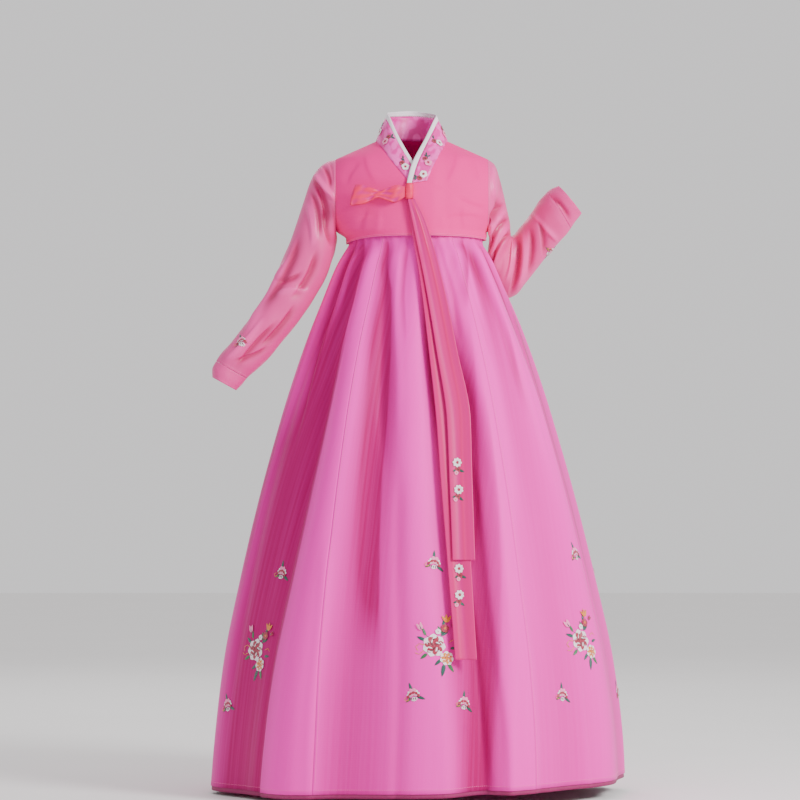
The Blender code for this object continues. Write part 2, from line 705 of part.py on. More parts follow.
def sleeve(side_name, table, elbow, cuff):
    rings = sleeve_rings(table)
    last = len(table) - 1
    sleeve_length(f"sleeve_{side_name}_upper", "satin", rings, 0, elbow, 1, 1)
    sleeve_length(f"sleeve_{side_name}_lower", "satin", rings, elbow, cuff, 1, 1)
    sleeve_length(f"cuff_{side_name}", "satin", rings, cuff, last, 1, 0)


def fold_relief(degrees, z):
    """Height of the large folds at an angle and a height, from crest to valley and on."""
    table = np.array(SKIRT_FOLDS, dtype=float)
    mid = ease(-z, -FOLD_TOP_HEIGHT, -FOLD_MID_HEIGHT)
    low = ease(-z, -FOLD_MID_HEIGHT, -SKIRT_HEM)
    places = table[:, 0] + (table[:, 1] - table[:, 0]) * mid + (table[:, 2] - table[:, 1]) * low
    top_relief, mid_relief, hem_relief = table[:, 3:].T * MM
    relief = top_relief * ease(-z, -FOLD_START, -FOLD_FULL)
    relief = relief + (mid_relief - top_relief) * mid + (hem_relief - mid_relief) * low
    wrapped = (degrees - places[0]) % 360 + places[0]
    places, relief = np.append(places, places[0] + 360), np.append(relief, relief[0])
    i = min(int(np.searchsorted(places, wrapped, side="right")) - 1, len(places) - 2)
    t = (wrapped - places[i]) / (places[i + 1] - places[i])
    return relief[i] + (relief[i + 1] - relief[i]) * (1 - math.cos(math.pi * t)) / 2


def skirt_level(z):
    right, left, front, back = (along(SKIRT_LEVELS, i, z) for i in (1, 2, 3, 4))
    return (left + right) / 2, (left - right) / 2, front, back


def skirt_point(degrees, z):
    """A point of the skirt, moved in or out along the level by its folds."""
    middle, half_width, front, back = skirt_level(z)
    angle = math.radians(degrees)
    depth = front if math.cos(angle) > 0 else back
    out = np.array([depth * math.sin(angle), -half_width * math.cos(angle)])
    out /= np.linalg.norm(out)
    grow = ease(-z, -SMALL_FOLD_START, -SMALL_FOLD_PEAK) * (1 - ease(-z, -SMALL_FOLD_PEAK, -SMALL_FOLD_END))
    uneven = SMALL_FOLDS * angle + SMALL_FOLD_UNEVENNESS * math.sin(2 * angle)
    relief = fold_relief(degrees, z)
    relief += SMALL_FOLD_DEPTH * grow * math.cos(uneven)
    relief += PLEAT_DEPTH * (1 - ease(-z, -SKIRT_TOP, -PLEAT_END)) * math.cos(PLEATS * angle)
    from_elbow = abs((degrees - ELBOW_DENT_ANGLE + 180) % 360 - 180) / ELBOW_DENT_HALF_ANGLE
    level = abs(z - ELBOW_DENT_HEIGHT) / ELBOW_DENT_HALF_HEIGHT
    relief -= ELBOW_DENT_DEPTH * (1 - ease(from_elbow, 0, 1)) * (1 - ease(level, 0, 1))
    x = middle + half_width * math.sin(angle) + out[0] * relief
    y = -depth * math.cos(angle) + out[1] * relief
    return np.array([x, y, z])


def skirt_hem(degrees):
    return SKIRT_HEM + HEM_RISE_TO_LEFT * math.sin(math.radians(degrees))


def skirt_columns(degrees_list):
    """Points of the skirt, a row for each share of its height and a column for each angle."""
    columns = []
    for degrees in degrees_list:
        length = skirt_hem(degrees) - SKIRT_TOP
        columns.append([skirt_point(degrees, SKIRT_TOP + length * share) for share in SKIRT_ROWS])
    return np.stack(np.array(columns), axis=1)


def level_normals(points):
    """Outward directions that stay level, so that every wall keeps its height and its seams."""
    across = points[:, 2:] - points[:, :-2]
    normal = np.stack([across[..., 1], -across[..., 0], 0 * across[..., 0]], axis=-1)
    return unit(normal)


def skirt_grid(first, count):
    """Outer points of a stretch of the skirt and their level outward directions."""
    degrees = [first + (i - 1) * COLUMN_DEGREES for i in range(count + 2)]
    points = skirt_columns(degrees)
    normals = level_normals(points)
    return points[:, 1:-1], normals


def skirt_panel(node, first, last):
    outer, normals = skirt_grid(first, round((last - first) / COLUMN_DEGREES) + 1)
    inner = outer - normals * ORGANZA_WALL
    for place, sign in ((0, 1), (-1, -1)):
        side = normals[:, place]
        onwards = np.stack([-side[:, 1], side[:, 0], 0 * side[:, 0]], axis=-1)
        outer[:, place] += sign * onwards * SEAM_GAP / 2
        inner[:, place] += sign * onwards * SEAM_GAP / 2
    add_wall(node, "organza", outer, inner)


def under_layer():
    """Strip of the under layer that follows the last stretch of the skirt and shows below its hem."""
    outer, normals = skirt_grid(0.0, round(360 / COLUMN_DEGREES))
    above, hem = outer[-2], outer[-1]
    fall = (hem - above)[:, 2:3]
    slope = (hem - above) / fall
    step_in = normals[-1] * (ORGANZA_WALL + UNDER_LAYER_GAP)
    high = hem + slope * UNDER_LAYER_TOP - step_in
    low = hem - slope * UNDER_LAYER_BELOW_HEM - step_in
    strip = np.stack([high, low])
    add_wall("skirt_under_layer", "under", strip, strip - normals[-1] * ORGANZA_WALL, closed=True)


def skirt():
    for node, first, last in SKIRT_PANELS:
        skirt_panel(node, first, last)
    under_layer()


def chest_band():
    """Plain band that carries the skirt, just inside the jacket."""
    heights = (SKIRT_TOP + SEAM_GAP, CHEST_BAND_MIDDLE, CHEST_BAND_TOP)
    turns = np.linspace(0, 2 * math.pi, CHEST_BAND_COLUMNS, endpoint=False)
    rows = []
    for z in heights:
        middle, half_width, front, _ = skirt_level(z)
        room = along(TORSO_LEVELS, 3, z) - COTTON_WALL - CHEST_BAND_CLEARANCE
        depth = np.where(np.cos(turns) > 0, front, room)
        x, y = middle + half_width * np.sin(turns), -depth * np.cos(turns)
        rows.append(np.stack([x, y, 0 * turns + z], axis=-1))
    outer = np.array(rows)
    across = np.roll(outer, -1, axis=1) - np.roll(outer, 1, axis=1)
    normals = unit(np.stack([across[..., 1], -across[..., 0], 0 * across[..., 0]], axis=-1))
    add_wall("skirt_chest_band", "band", outer, outer - normals * COTTON_WALL, closed=True)


def front_surface_y(x, z):
    """How far forward cloth must hang to pass in front of the jacket and then the skirt's crests."""
    level_z = np.array(max(z, TAIL_JACKET_END))
    jacket = float(torso_point(torso_angle(np.array(x), level_z, -1), level_z, -1, True)[1])
    middle, half_width, front, _ = skirt_level(min(z, SKIRT_TOP))
    angle = math.asin(max(-1.0, min(1.0, (x - middle) / half_width)))
    skirt = -front * math.cos(angle) - TAIL_CREST_ROOM
    blend = ease(-z, -TAIL_JACKET_END, -TAIL_SKIRT_START)
    return float(jacket + (min(skirt, jacket) - jacket) * blend)


def tail(node, table, lift):
    heights = np.linspace(table[0][0], table[-1][0], TAIL_ROWS) * MM
    shares = np.linspace(0, 1, TAIL_COLUMNS)
    rows = []
    for z in heights:
        right, left = along(table, 1, z), along(table, 2, z)
        xs = np.linspace(right, left, TAIL_COLUMNS)
        reach = max(-front_surface_y(x, z) for x in (along(REAR_TAIL, 1, z), along(FRONT_TAIL, 2, z)))
        curl = TAIL_CURL * np.cos(2 * math.pi * shares) * ease(-z, -TAIL_CURL_START, -TAIL_CURL_FULL)
        rows.append([(x, -reach - lift - c, z) for x, c in zip(xs, curl)])
    outer = np.array(rows)
    normals = facing(grid_normals(outer), outer, np.zeros(3))
    add_wall(node, "ribbon", outer, outer - normals * RIBBON_WALL)


def knot_middle_y():
    return front_surface_y(*KNOT_CENTRE) + KNOT_SINK - KNOT_DEPTH / 2


def knot():
    """Ribbon wound once round the tie: a short barrel that bulges between its two ends."""
    x0, z0 = KNOT_CENTRE
    turns = np.linspace(0, 2 * math.pi, KNOT_COLUMNS, endpoint=False)
    rings = []
    for height, size in KNOT_LEVELS:
        x = x0 + KNOT_HALF_WIDTH * size * np.cos(turns) + height * KNOT_LEAN
        y = knot_middle_y() + KNOT_DEPTH / 2 * size * np.sin(turns)
        rings.append(np.stack([x, y, 0 * turns + z0 + height * KNOT_HALF_HEIGHT], axis=-1))
    rings = np.array(rings)
    axis = rings.mean(axis=1, keepdims=True)
    add_wall("ribbon_knot", "ribbon", rings, axis + (rings - axis) * KNOT_CORE_SHARE, closed=True)


def loop():
    """The bow's one loop: ribbon that runs out to the wearer's right, turns back and returns."""
    x_knot, z_knot = KNOT_CENTRE
    table = np.array(LOOP_SECTIONS, dtype=float) * MM
    round_share = math.sqrt(1 - (table[0][3] / (KNOT_DEPTH / 2)) ** 2)
    start = x_knot - KNOT_HALF_WIDTH * round_share - KNOT_LEAN - SEAM_GAP
    seat = knot_middle_y()
    end = table[-1]
    outward = [(d, top, low, seat - gap) for d, top, low, gap in table]
    drop = LOOP_RETURN_DROP
    back = [(d, top - drop, low - drop, seat + gap) for d, top, low, gap in table[::-1]]
    turn = []
    for step in range(1, LOOP_TURN_STEPS + 1):
        angle = math.pi * step / (LOOP_TURN_STEPS + 1)
        out, forward = end[3] * math.sin(angle), end[3] * math.cos(angle)
        turn.append((end[0] + out, end[1], end[2], seat - forward))
    path = outward + turn + back
    points = np.array([
        [(start - d, y, low + (top - low) * f) for f in LOOP_COLUMNS] for d, top, low, y in path
    ])
    centre = np.array([start - LOOP_MIDDLE, seat, z_knot])
    normals = grid_normals(points)
    outward_way = np.einsum("rci,rci->rc", normals, points - centre)
    normals = normals * np.sign(outward_way.sum())
    add_wall("ribbon_loop", "ribbon", points, points - normals * RIBBON_WALL)


def main():
    remove_everything()
    last = len(COLLAR_STATIONS) - 1
    jacket_front("jacket_front_left", 1, LEFT_FRONT_EDGE_X, last, LEFT_NECK_STATION, True)
    jacket_front("jacket_front_right", -1, RIGHT_FRONT_EDGE_X, 0, RIGHT_NECK_STATION, False)
    jacket_back()
    collar()
    sleeve("right", RIGHT_SLEEVE_RINGS, RIGHT_ELBOW_RING, RIGHT_CUFF_RING)
    sleeve("left", LEFT_SLEEVE_RINGS, LEFT_ELBOW_RING, LEFT_CUFF_RING)
    chest_band()
    skirt()
    knot()
    loop()
    tail("ribbon_tail_rear", REAR_TAIL, TAIL_LIFT_REAR)
    tail("ribbon_tail_front", FRONT_TAIL, TAIL_LIFT_FRONT)


main()
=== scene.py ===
# %% [markdown]
# # A worn Korean hanbok
#
# The garment is two pieces: a short jacket (jeogori) with a crossed collar and a ribbon tie, and a
# very full skirt (chima) that hangs from a band round the chest. It keeps the form it has when it is
# worn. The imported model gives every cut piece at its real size. This script dresses each of those
# pieces with a thin shell of cloth that has the same form and much finer creases.

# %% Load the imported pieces
import math
import json

import bpy
import numpy as np
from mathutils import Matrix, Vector
from mathutils.bvhtree import BVHTree

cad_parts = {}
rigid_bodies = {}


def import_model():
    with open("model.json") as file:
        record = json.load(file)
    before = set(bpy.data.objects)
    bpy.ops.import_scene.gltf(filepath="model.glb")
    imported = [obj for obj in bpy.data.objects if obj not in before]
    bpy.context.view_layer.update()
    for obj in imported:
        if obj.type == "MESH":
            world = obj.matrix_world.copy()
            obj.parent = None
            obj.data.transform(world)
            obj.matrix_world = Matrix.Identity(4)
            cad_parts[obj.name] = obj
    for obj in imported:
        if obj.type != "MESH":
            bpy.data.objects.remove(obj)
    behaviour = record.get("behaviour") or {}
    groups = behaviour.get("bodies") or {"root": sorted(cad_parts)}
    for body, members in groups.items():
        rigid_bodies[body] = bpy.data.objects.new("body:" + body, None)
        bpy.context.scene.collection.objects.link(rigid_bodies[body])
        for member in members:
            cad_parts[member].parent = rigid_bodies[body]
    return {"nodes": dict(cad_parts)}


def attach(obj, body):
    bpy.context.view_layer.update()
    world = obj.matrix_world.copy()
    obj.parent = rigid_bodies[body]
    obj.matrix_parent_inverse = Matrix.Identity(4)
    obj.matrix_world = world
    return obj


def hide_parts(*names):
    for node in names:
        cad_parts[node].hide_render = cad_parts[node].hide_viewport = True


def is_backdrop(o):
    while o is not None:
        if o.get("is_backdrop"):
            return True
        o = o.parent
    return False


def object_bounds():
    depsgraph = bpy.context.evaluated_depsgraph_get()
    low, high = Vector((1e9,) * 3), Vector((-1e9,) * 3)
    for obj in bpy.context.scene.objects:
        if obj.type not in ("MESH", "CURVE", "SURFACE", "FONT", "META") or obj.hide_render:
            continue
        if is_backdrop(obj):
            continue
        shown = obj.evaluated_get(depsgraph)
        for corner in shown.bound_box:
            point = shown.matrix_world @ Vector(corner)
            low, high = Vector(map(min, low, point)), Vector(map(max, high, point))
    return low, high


for thing in list(bpy.data.objects):
    bpy.data.objects.remove(thing, do_unlink=True)
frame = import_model()
CAD_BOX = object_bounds()
MM = 0.001
print("pieces in the packed model:", len(frame["nodes"]))

# %% [markdown]
# ## Reading smooth curves from short tables
#
# A garment's form is described well by a few levels, as a tailor notes chest, waist and hem. The
# helper below reads a smooth curve through such a column of sizes. It never swings past its
# neighbours, which a plain spline would do, so a shoulder stays a shoulder.

# %% Smooth reading of a table


def smooth_read(places, values, at):
    at = np.clip(at, places[0], places[-1])
    steps = np.diff(places)
    rise = np.diff(values) / steps
    slope = np.zeros(len(values))
    same = rise[:-1] * rise[1:] > 0
    slope[1:-1][same] = 2 * rise[:-1][same] * rise[1:][same] / (rise[:-1] + rise[1:])[same]
    slope[0], slope[-1] = rise[0], rise[-1]
    i = np.clip(np.searchsorted(places, at, side="right") - 1, 0, len(steps) - 1)
    h = steps[i]
    t = (at - places[i]) / h
    return (
        values[i] * (1 + 2 * t) * (1 - t) ** 2
        + values[i + 1] * t * t * (3 - 2 * t)
        + h * slope[i] * t * (1 - t) ** 2
        - h * slope[i + 1] * t * t * (1 - t)
    )


def along(table, index, height):
    data = np.array(table, dtype=float) * MM
    order = np.argsort(data[:, 0])
    return smooth_read(data[order, 0], data[order, index], height)


def ease(value, low, high):
    t = np.clip((value - low) / (high - low), 0, 1)
    return t * t * (3 - 2 * t)


def unit(vectors):
    return vectors / np.maximum(np.linalg.norm(vectors, axis=-1, keepdims=True), 1e-12)


# %% [markdown]
# ## Shells of cloth
#
# Each piece of cloth is a grid of points: one direction runs round the body and the other one down
# it. From such a grid a mesh follows at once, and so does a UV map in metres of cloth, which the
# weave needs. A Solidify modifier then gives the cloth its real thickness and a clean cut edge.

# %% Grid to cloth

CLOTH = {}


def grid_normals(points, closed=False):
    if closed:
        across = np.roll(points, -1, axis=1) - np.roll(points, 1, axis=1)
    else:
        across = np.gradient(points, axis=1)
    return unit(np.cross(across, np.gradient(points, axis=0)))


def facing(normals, points, centre):
    outward = np.einsum("rci,rci->rc", normals, points - centre)
    return normals * np.where(outward < 0, -1, 1)[..., None]


def cloth_lengths(points, closed):
    """Distance along the cloth from the first column and the first row, in metres."""
    over = np.concatenate([points, points[:, :1]], axis=1) if closed else points
    width = np.linalg.norm(np.diff(over, axis=1), axis=-1)
    width = np.concatenate([np.zeros((len(points), 1)), np.cumsum(width, axis=1)], axis=1)
    drop = np.linalg.norm(np.diff(points, axis=0), axis=-1).mean(axis=1)
    return width, np.concatenate([[0], np.cumsum(drop)])


def new_piece(name, points, faces, materials):
    """A mesh of the garment, in the scene and riding on its one body."""
    mesh = bpy.data.meshes.new(name)
    mesh.from_pydata(np.asarray(points).reshape(-1, 3).tolist(), [], np.asarray(faces).tolist())
    mesh.shade_smooth()
    for material in materials:
        mesh.materials.append(material)
    piece = bpy.data.objects.new(name, mesh)
    bpy.context.scene.collection.objects.link(piece)
    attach(piece, "root")
    return piece


def give_uv(piece, corners):
    layer = piece.data.uv_layers.new(name="cloth")
    layer.data.foreach_set("uv", np.asarray(corners, dtype=np.float32).reshape(-1))


def cloth(name, points, material, thickness, inner, closed=False, deep=None, replaces=()):
    """A thin shell through a grid of points that faces away from an inner point, with its UV map."""
    rows, columns = points.shape[:2]
    wrap = columns if closed else columns - 1
    r, c = np.meshgrid(np.arange(rows - 1), np.arange(wrap), indexing="ij")
    d = (c + 1) % columns
    top_row, low_row = r * columns, (r + 1) * columns
    faces = np.stack([top_row + c, top_row + d, low_row + d, low_row + c], axis=-1).reshape(-1, 4)
    corner = points.reshape(-1, 3)[faces]
    face_normal = np.cross(corner[:, 2] - corner[:, 0], corner[:, 3] - corner[:, 1])
    turned = np.einsum("ij,ij->i", face_normal, corner.mean(axis=1) - inner).sum() < 0
    width, drop = cloth_lengths(points, closed)
    corner_uv = np.stack([
        np.stack([width[row, column], -drop[row]], axis=-1)
        for row, column in ((r, c), (r, c + 1), (r + 1, c + 1), (r + 1, c))
    ], axis=2).reshape(-1, 4, 2)
    if turned:
        faces, corner_uv = faces[:, ::-1], corner_uv[:, ::-1]
    piece = new_piece(name, points, faces, [material])
    give_uv(piece, corner_uv)
    # deep: how deep the colour is, from layered cloth and from painted shade and light in the folds
    if deep is not None:
        values = piece.data.attributes.new("deep", "FLOAT", "POINT")
        values.data.foreach_set("value", deep.reshape(-1).astype(np.float32))
    if thickness:
        solid = piece.modifiers.new("thickness", "SOLIDIFY")
        solid.thickness, solid.offset, solid.use_even_offset = thickness, -1.0, False
    if replaces:
        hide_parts(*replaces)
    CLOTH[name] = piece
    print(f"{name}: {rows} x {columns} points")
    return piece


# %% [markdown]
# ## Colour and material helpers
#
# Colours are noted as sRGB hex values, as a dyer's card would give them, and one function turns them
# to the linear values that the shaders work in. One small function adds a node with its settings.

# %% Colour and node helpers

ONE_BAND = 0.32  # the wave texture's scale that gives about one band a unit


def colour(hex_value):
    parts = [int(hex_value[i : i + 2], 16) / 255 for i in (1, 3, 5)]
    return [p / 12.92 if p <= 0.04045 else ((p + 0.055) / 1.055) ** 2.4 for p in parts] + [1.0]


def add_node(tree, kind, links=None, **settings):
    node = tree.nodes.new(kind)
    for key, value in settings.items():
        if hasattr(node, key):
            setattr(node, key, value)
        else:
            node.inputs[key.replace("_", " ")].default_value = value
    for socket, source in (links or {}).items():
        tree.links.new(source, node.inputs[socket])
    return node


def new_material(name):
    material = bpy.data.materials.new(name)
    material.use_nodes = True
    tree = material.node_tree
    return material, tree, tree.nodes["Principled BSDF"]


def mapped(tree, kind, uv, scale, **settings):
    """A texture of one kind on a UV map that is stretched by scale."""
    at = add_node(tree, "ShaderNodeMapping", {"Vector": uv.outputs[0]}, Scale=scale)
    return add_node(tree, kind, {"Vector": at.outputs[0]}, **settings)


def bands(tree, uv, direction, scale):
    """Bands of light and dark across one direction, one to each unit of the stretched map."""
    wave = mapped(tree, "ShaderNodeTexWave", uv, scale, bands_direction=direction, Scale=ONE_BAND)
    return wave.outputs["Fac"]


def streaks(tree, uv, across, down):
    """Soft uneven streaks that run down the cloth: slubs and faint press marks."""
    return mapped(tree, "ShaderNodeTexNoise", uv, (across, down, 1), Scale=1.0, Detail=3.0).outputs["Fac"]


def mix_colours(tree, factor, first, second):
    mix = add_node(tree, "ShaderNodeMix", data_type="RGBA")
    tree.links.new(factor, mix.inputs["Factor"])
    for socket, value in ((6, first), (7, second)):
        if isinstance(value, list):
            mix.inputs[socket].default_value = value
        else:
            tree.links.new(value, mix.inputs[socket])
    return mix.outputs[2]


def finish_cloth(tree, shader, base, height, bump, relief, **shine):
    """Links colour and bump, and sets the shader's own sockets."""
    tree.links.new(base, shader.inputs["Base Color"])
    raised = add_node(tree, "ShaderNodeBump", {"Height": height}, Strength=bump, Distance=relief)
    tree.links.new(raised.outputs[0], shader.inputs["Normal"])
    for socket, value in shine.items():
        shader.inputs[socket.replace("_", " ")].default_value = value


# %% [markdown]
# ## Woven cloths
#
# All cloths are plain or satin weaves, and their real threads of 0.2 to 0.3 mm are too fine to show.
# Their spacing is drawn about ten times as coarse, in millimetres of cloth. A plain cloth has two
# close shades in a grain. A sheer one is different: where several layers lie behind each other its
# colour turns deep, and where it stands out it is paler. The mesh carries that as a value called deep,
# made from the folds. That value also holds painted shade and painted light: deeper in valleys and on
# the side away from the key light, paler on the crests. Slubs are thick places in single threads.

# %% One woven material


def woven(
    name, spacing, streak, shades, bump, roughness, slub=None, grain=streaks, relief=0.3 * MM, **shine
):
    """Threads as bumps; two shades by the grain or, with a slub, by the deep value: cloth behind and painted
    fold shade.
    """
    material, tree, shader = new_material(name)
    uv = add_node(tree, "ShaderNodeUVMap", uv_map="cloth")
    warp = bands(tree, uv, "X", (1 / (spacing[0] * MM), 1, 1))
    weft = bands(tree, uv, "Y", (1, 1 / (spacing[1] * MM), 1))
    threads = add_node(tree, "ShaderNodeMath", {0: warp, 1: weft}, operation="ADD")
    pattern = grain(tree, uv, *streak)
    light, dark = (colour(value) for value in shades)
    # With a slub the colour goes by the deep value: deeper where cloth lies behind, with painted shade in
    # valleys and painted light on crests.
    if slub:
        thick_threads, low, high, share = slub
        layers_and_shade = add_node(tree, "ShaderNodeAttribute", attribute_name="deep")
        layered_and_shaded = mix_colours(tree, layers_and_shade.outputs["Fac"], light, dark)
        limits = {"From_Min": low, "From_Max": high, "To_Max": share}
        part = add_node(tree, "ShaderNodeMapRange", {"Value": pattern}, **limits)
        base = mix_colours(tree, part.outputs[0], layered_and_shaded, colour(thick_threads))
    else:
        base = mix_colours(tree, pattern, light, dark)
    finish_cloth(tree, shader, base, threads.outputs[0], bump, relief, Roughness=roughness, **shine)
    print("material:", name)
    return material


def woven_figures(tree, uv, across, down):
    """Round figures with soft edges, as a brocade has them."""
    cells = mapped(tree, "ShaderNodeTexVoronoi", uv, (across, down, 1), feature="SMOOTH_F1", Scale=1.0)
    distance = {"Value": cells.outputs["Distance"]}
    edge = add_node(tree, "ShaderNodeMapRange", distance, From_Min=0.35, From_Max=0.5)
    return edge.outputs[0]


# %% [markdown]
# ## The cloths of this garment
#
# The skirt is polyester organza, a stiff sheer plain weave, over a pink taffeta under layer. The
# jacket's body is a matte polyester crepe, smooth with almost no shine. The sleeves and cuffs are a
# thin satin organza: its long floats catch light as soft bands along every crease. The collar is a
# brocade of the same pink, and the narrow edge over it is white cotton. The ribbon is coral organza,
# doubled, so it is a stronger colour than any other piece.

# %% Organza, crepe, satin, brocade, cotton, ribbon and taffeta

ORGANZA = woven(
    "polyester_organza_woven", (3.0, 3.6), (160, 2.2), ("#FF26BE", "#AC0062"), 0.12, 0.46,
    slub=("#FF4CCC", 0.35, 0.75, 0.14), relief=0.4 * MM, Sheen_Weight=0.18, Sheen_Roughness=0.4,
    Sheen_Tint=colour("#FF8CCF"), Specular_IOR_Level=0.2, Specular_Tint=colour("#FF8CCF"),
)
CREPE = woven(
    "polyester_crepe_woven", (1.8, 1.8), (260, 260), ("#F7008E", "#F00086"), 0.1, 0.72,
    Sheen_Weight=0.15, Sheen_Tint=colour("#FF80B8"), Specular_IOR_Level=0.25,
)
SATIN = woven(
    "satin_organza_woven", (2.4, 2.0), (300, 14), ("#F444A2", "#B40058"), 0.14, 0.43,
    slub=("#F02890", 0.0, 1.0, 0.3), Anisotropic=0.35, Sheen_Weight=0.2, Sheen_Tint=colour("#FF9CCB"),
)
BROCADE = woven(
    "satin_brocade_woven", (1.6, 1.6), (70, 70), ("#FC52C0", "#E4209C"), 0.15, 0.4, grain=woven_figures,
)
COTTON = woven("white_cotton_woven", (1.5, 1.5), (200, 200), ("#F4EEF4", "#E4D8E4"), 0.12, 0.75)
BAND_COTTON = woven("pink_cotton_band", (1.6, 1.6), (150, 150), ("#F04C9C", "#E03C8C"), 0.12, 0.8)
RIBBON = woven(
    "coral_organza_woven", (2.2, 2.6), (240, 6), ("#F00850", "#CC0080"), 0.15, 0.42,
    slub=("#D8006C", 0.0, 1.0, 0.4), Specular_IOR_Level=0.25,
)
# The taffeta's dark colour is partly painted shade: the strip that shows lies in shadow under the organza's
# hem.
TAFFETA = woven("polyester_taffeta_woven", (2.0, 2.0), (120, 30), ("#A8286C", "#821450"), 0.1, 0.6)

# %% [markdown]
# ## The skirt's form
#
# A chima is cut from straight or slightly flared widths, gathered tightly into a band at the chest.
# Near the band there are many small folds. They run together on the way down into a few deep ones.
# Each level of the skirt is an ellipse, and a table of crests and valleys gives the big folds:
# their angle round the body at the top, half way and at the hem, and how far they stand out.

# %% Skirt tables

SKIRT_LEVELS = (
    # height, right_side_x, left_side_x, front_depth, back_depth
    (-146, -140, 141, 109, 95),
    (-182, -143, 143, 111, 98),
    (-205, -153, 156, 117, 105),
    (-238, -170, 172, 127, 116),
    (-305, -197, 201, 148, 140),
    (-391, -230, 235, 175, 171),
    (-477, -258, 265, 201, 199),
    (-563, -284, 292, 226, 225),
    (-735, -331, 341, 269, 271),
    (-907, -371, 383, 306, 310),
    (-1079, -405, 420, 335, 341),
    (-1251, -425, 441, 356, 363),
    (-1350, -433, 446, 364, 371),
)
SKIRT_TOP = -148 * MM
SKIRT_HEM = -1334 * MM
HEM_RISE_TO_LEFT = 11 * MM
SKIRT_FOLDS = (
    # top_angle, mid_angle, hem_angle, top_relief, mid_relief, hem_relief
    (-86, -84, -86, 2, 8, 8),
    (-58, -50, -62, -3, -20, -24),
    (-31, -32, -37, 3, 20, 20),
    (-21, -17, -22, -3, -15, -15),
    (-8, -3, 6, 3, 13, 14),
    (10, 18, 17, -3, -24, -26),
    (30, 30, 26, 3, 16, 16),
    (43, 46, 45, -2, -4, -5),
    (61, 64, 63, 3, 8, 9),
    (80, 80, 82, -2, -7, -9),
    (97, 99, 100, 2, 6, 11),
    (115, 116, 117, -3, -14, -17),
    (131, 132, 134, 3, 13, 18),
    (149, 151, 152, -3, -15, -18),
    (166, 167, 165, 3, 11, 15),
    (180, 183, 184, -3, -17, -21),
    (197, 199, 201, 3, 14, 17),
    (214, 212, 213, -2, -12, -16),
    (230, 229, 227, 3, 14, 19),
    (244, 246, 244, -3, -13, -16),
    (258, 260, 259, 2, 9, 12),
    (266, 268, 266, -1, -4, -3),
)
FOLD_TOP_HEIGHT, FOLD_MID_HEIGHT = -176 * MM, -560 * MM
SMALL_FOLDS, SMALL_FOLD_DEPTH, SMALL_FOLD_UNEVEN = 18, 4.5 * MM, 0.9
SMALL_FOLD_START, SMALL_FOLD_PEAK, SMALL_FOLD_END = -172 * MM, -225 * MM, -520 * MM
FOLDS_BEGIN, FOLDS_FULL = -165 * MM, -215 * MM
PLEATS, PLEAT_DEPTH, PLEAT_END = 36, 1.6 * MM, -215 * MM
# The left elbow presses a shallow dent into the skirt.
DENT_ANGLE, DENT_HALF_ANGLE = 128, 40
DENT_HEIGHT, DENT_HALF_HEIGHT, DENT_DEPTH = -262 * MM, 110 * MM, 20 * MM
# Creases that only the fine cloth has: a trough or a ridge down part of the skirt, sharper on the
# side that is narrower.
SKIRT_CREASES = (
    # top_z, low_z, top_angle, low_angle, right_width, left_width, depth
    (-190, -1330, -43, -52, 26, 9, -9),
    (-170, -700, -24, -13, 10, 16, -5),
    (-176, -620, -14, -8, 8, 12, 4),
    (-180, -900, 3, 13, 7, 14, -6),
    (-520, -1334, 12, 20, 18, 6, -8),
    (-600, -1334, 22, 24, 6, 14, 5),
    (-172, -420, 19, 24, 8, 8, -4),
    (-176, -470, 36, 38, 9, 7, -4),
    (-180, -560, 50, 54, 8, 12, -4),
    (-190, -760, 57, 60, 12, 8, 3),
    (-260, -1200, 70, 73, 20, 12, -4),
    (-700, -1334, 36, 35, 12, 18, -4),
    (-900, -1334, 52, 53, 16, 12, 3),
    (-800, -1334, -30, -31, 14, 10, 4),
    (-640, -1334, -7, -6, 12, 18, -5),
    (-200, -640, -66, -64, 10, 8, -5),
    (-300, -1250, -72, -75, 16, 22, -6),
    (-180, -900, 108, 112, 9, 20, -6),
    (-210, -1334, 124, 127, 20, 9, 5),
    (-180, -800, 141, 146, 12, 8, -5),
    (-180, -1334, 158, 160, 9, 18, -6),
    (-300, -1100, 173, 175, 14, 9, 4),
    (-180, -1334, 190, 192, 20, 9, -6),
    (-400, -1334, 206, 207, 9, 16, -4),
    (-180, -900, 221, 220, 12, 8, 5),
    (-180, -1334, 237, 236, 9, 20, -6),
    (-500, -1334, 252, 251, 16, 10, 4),
)
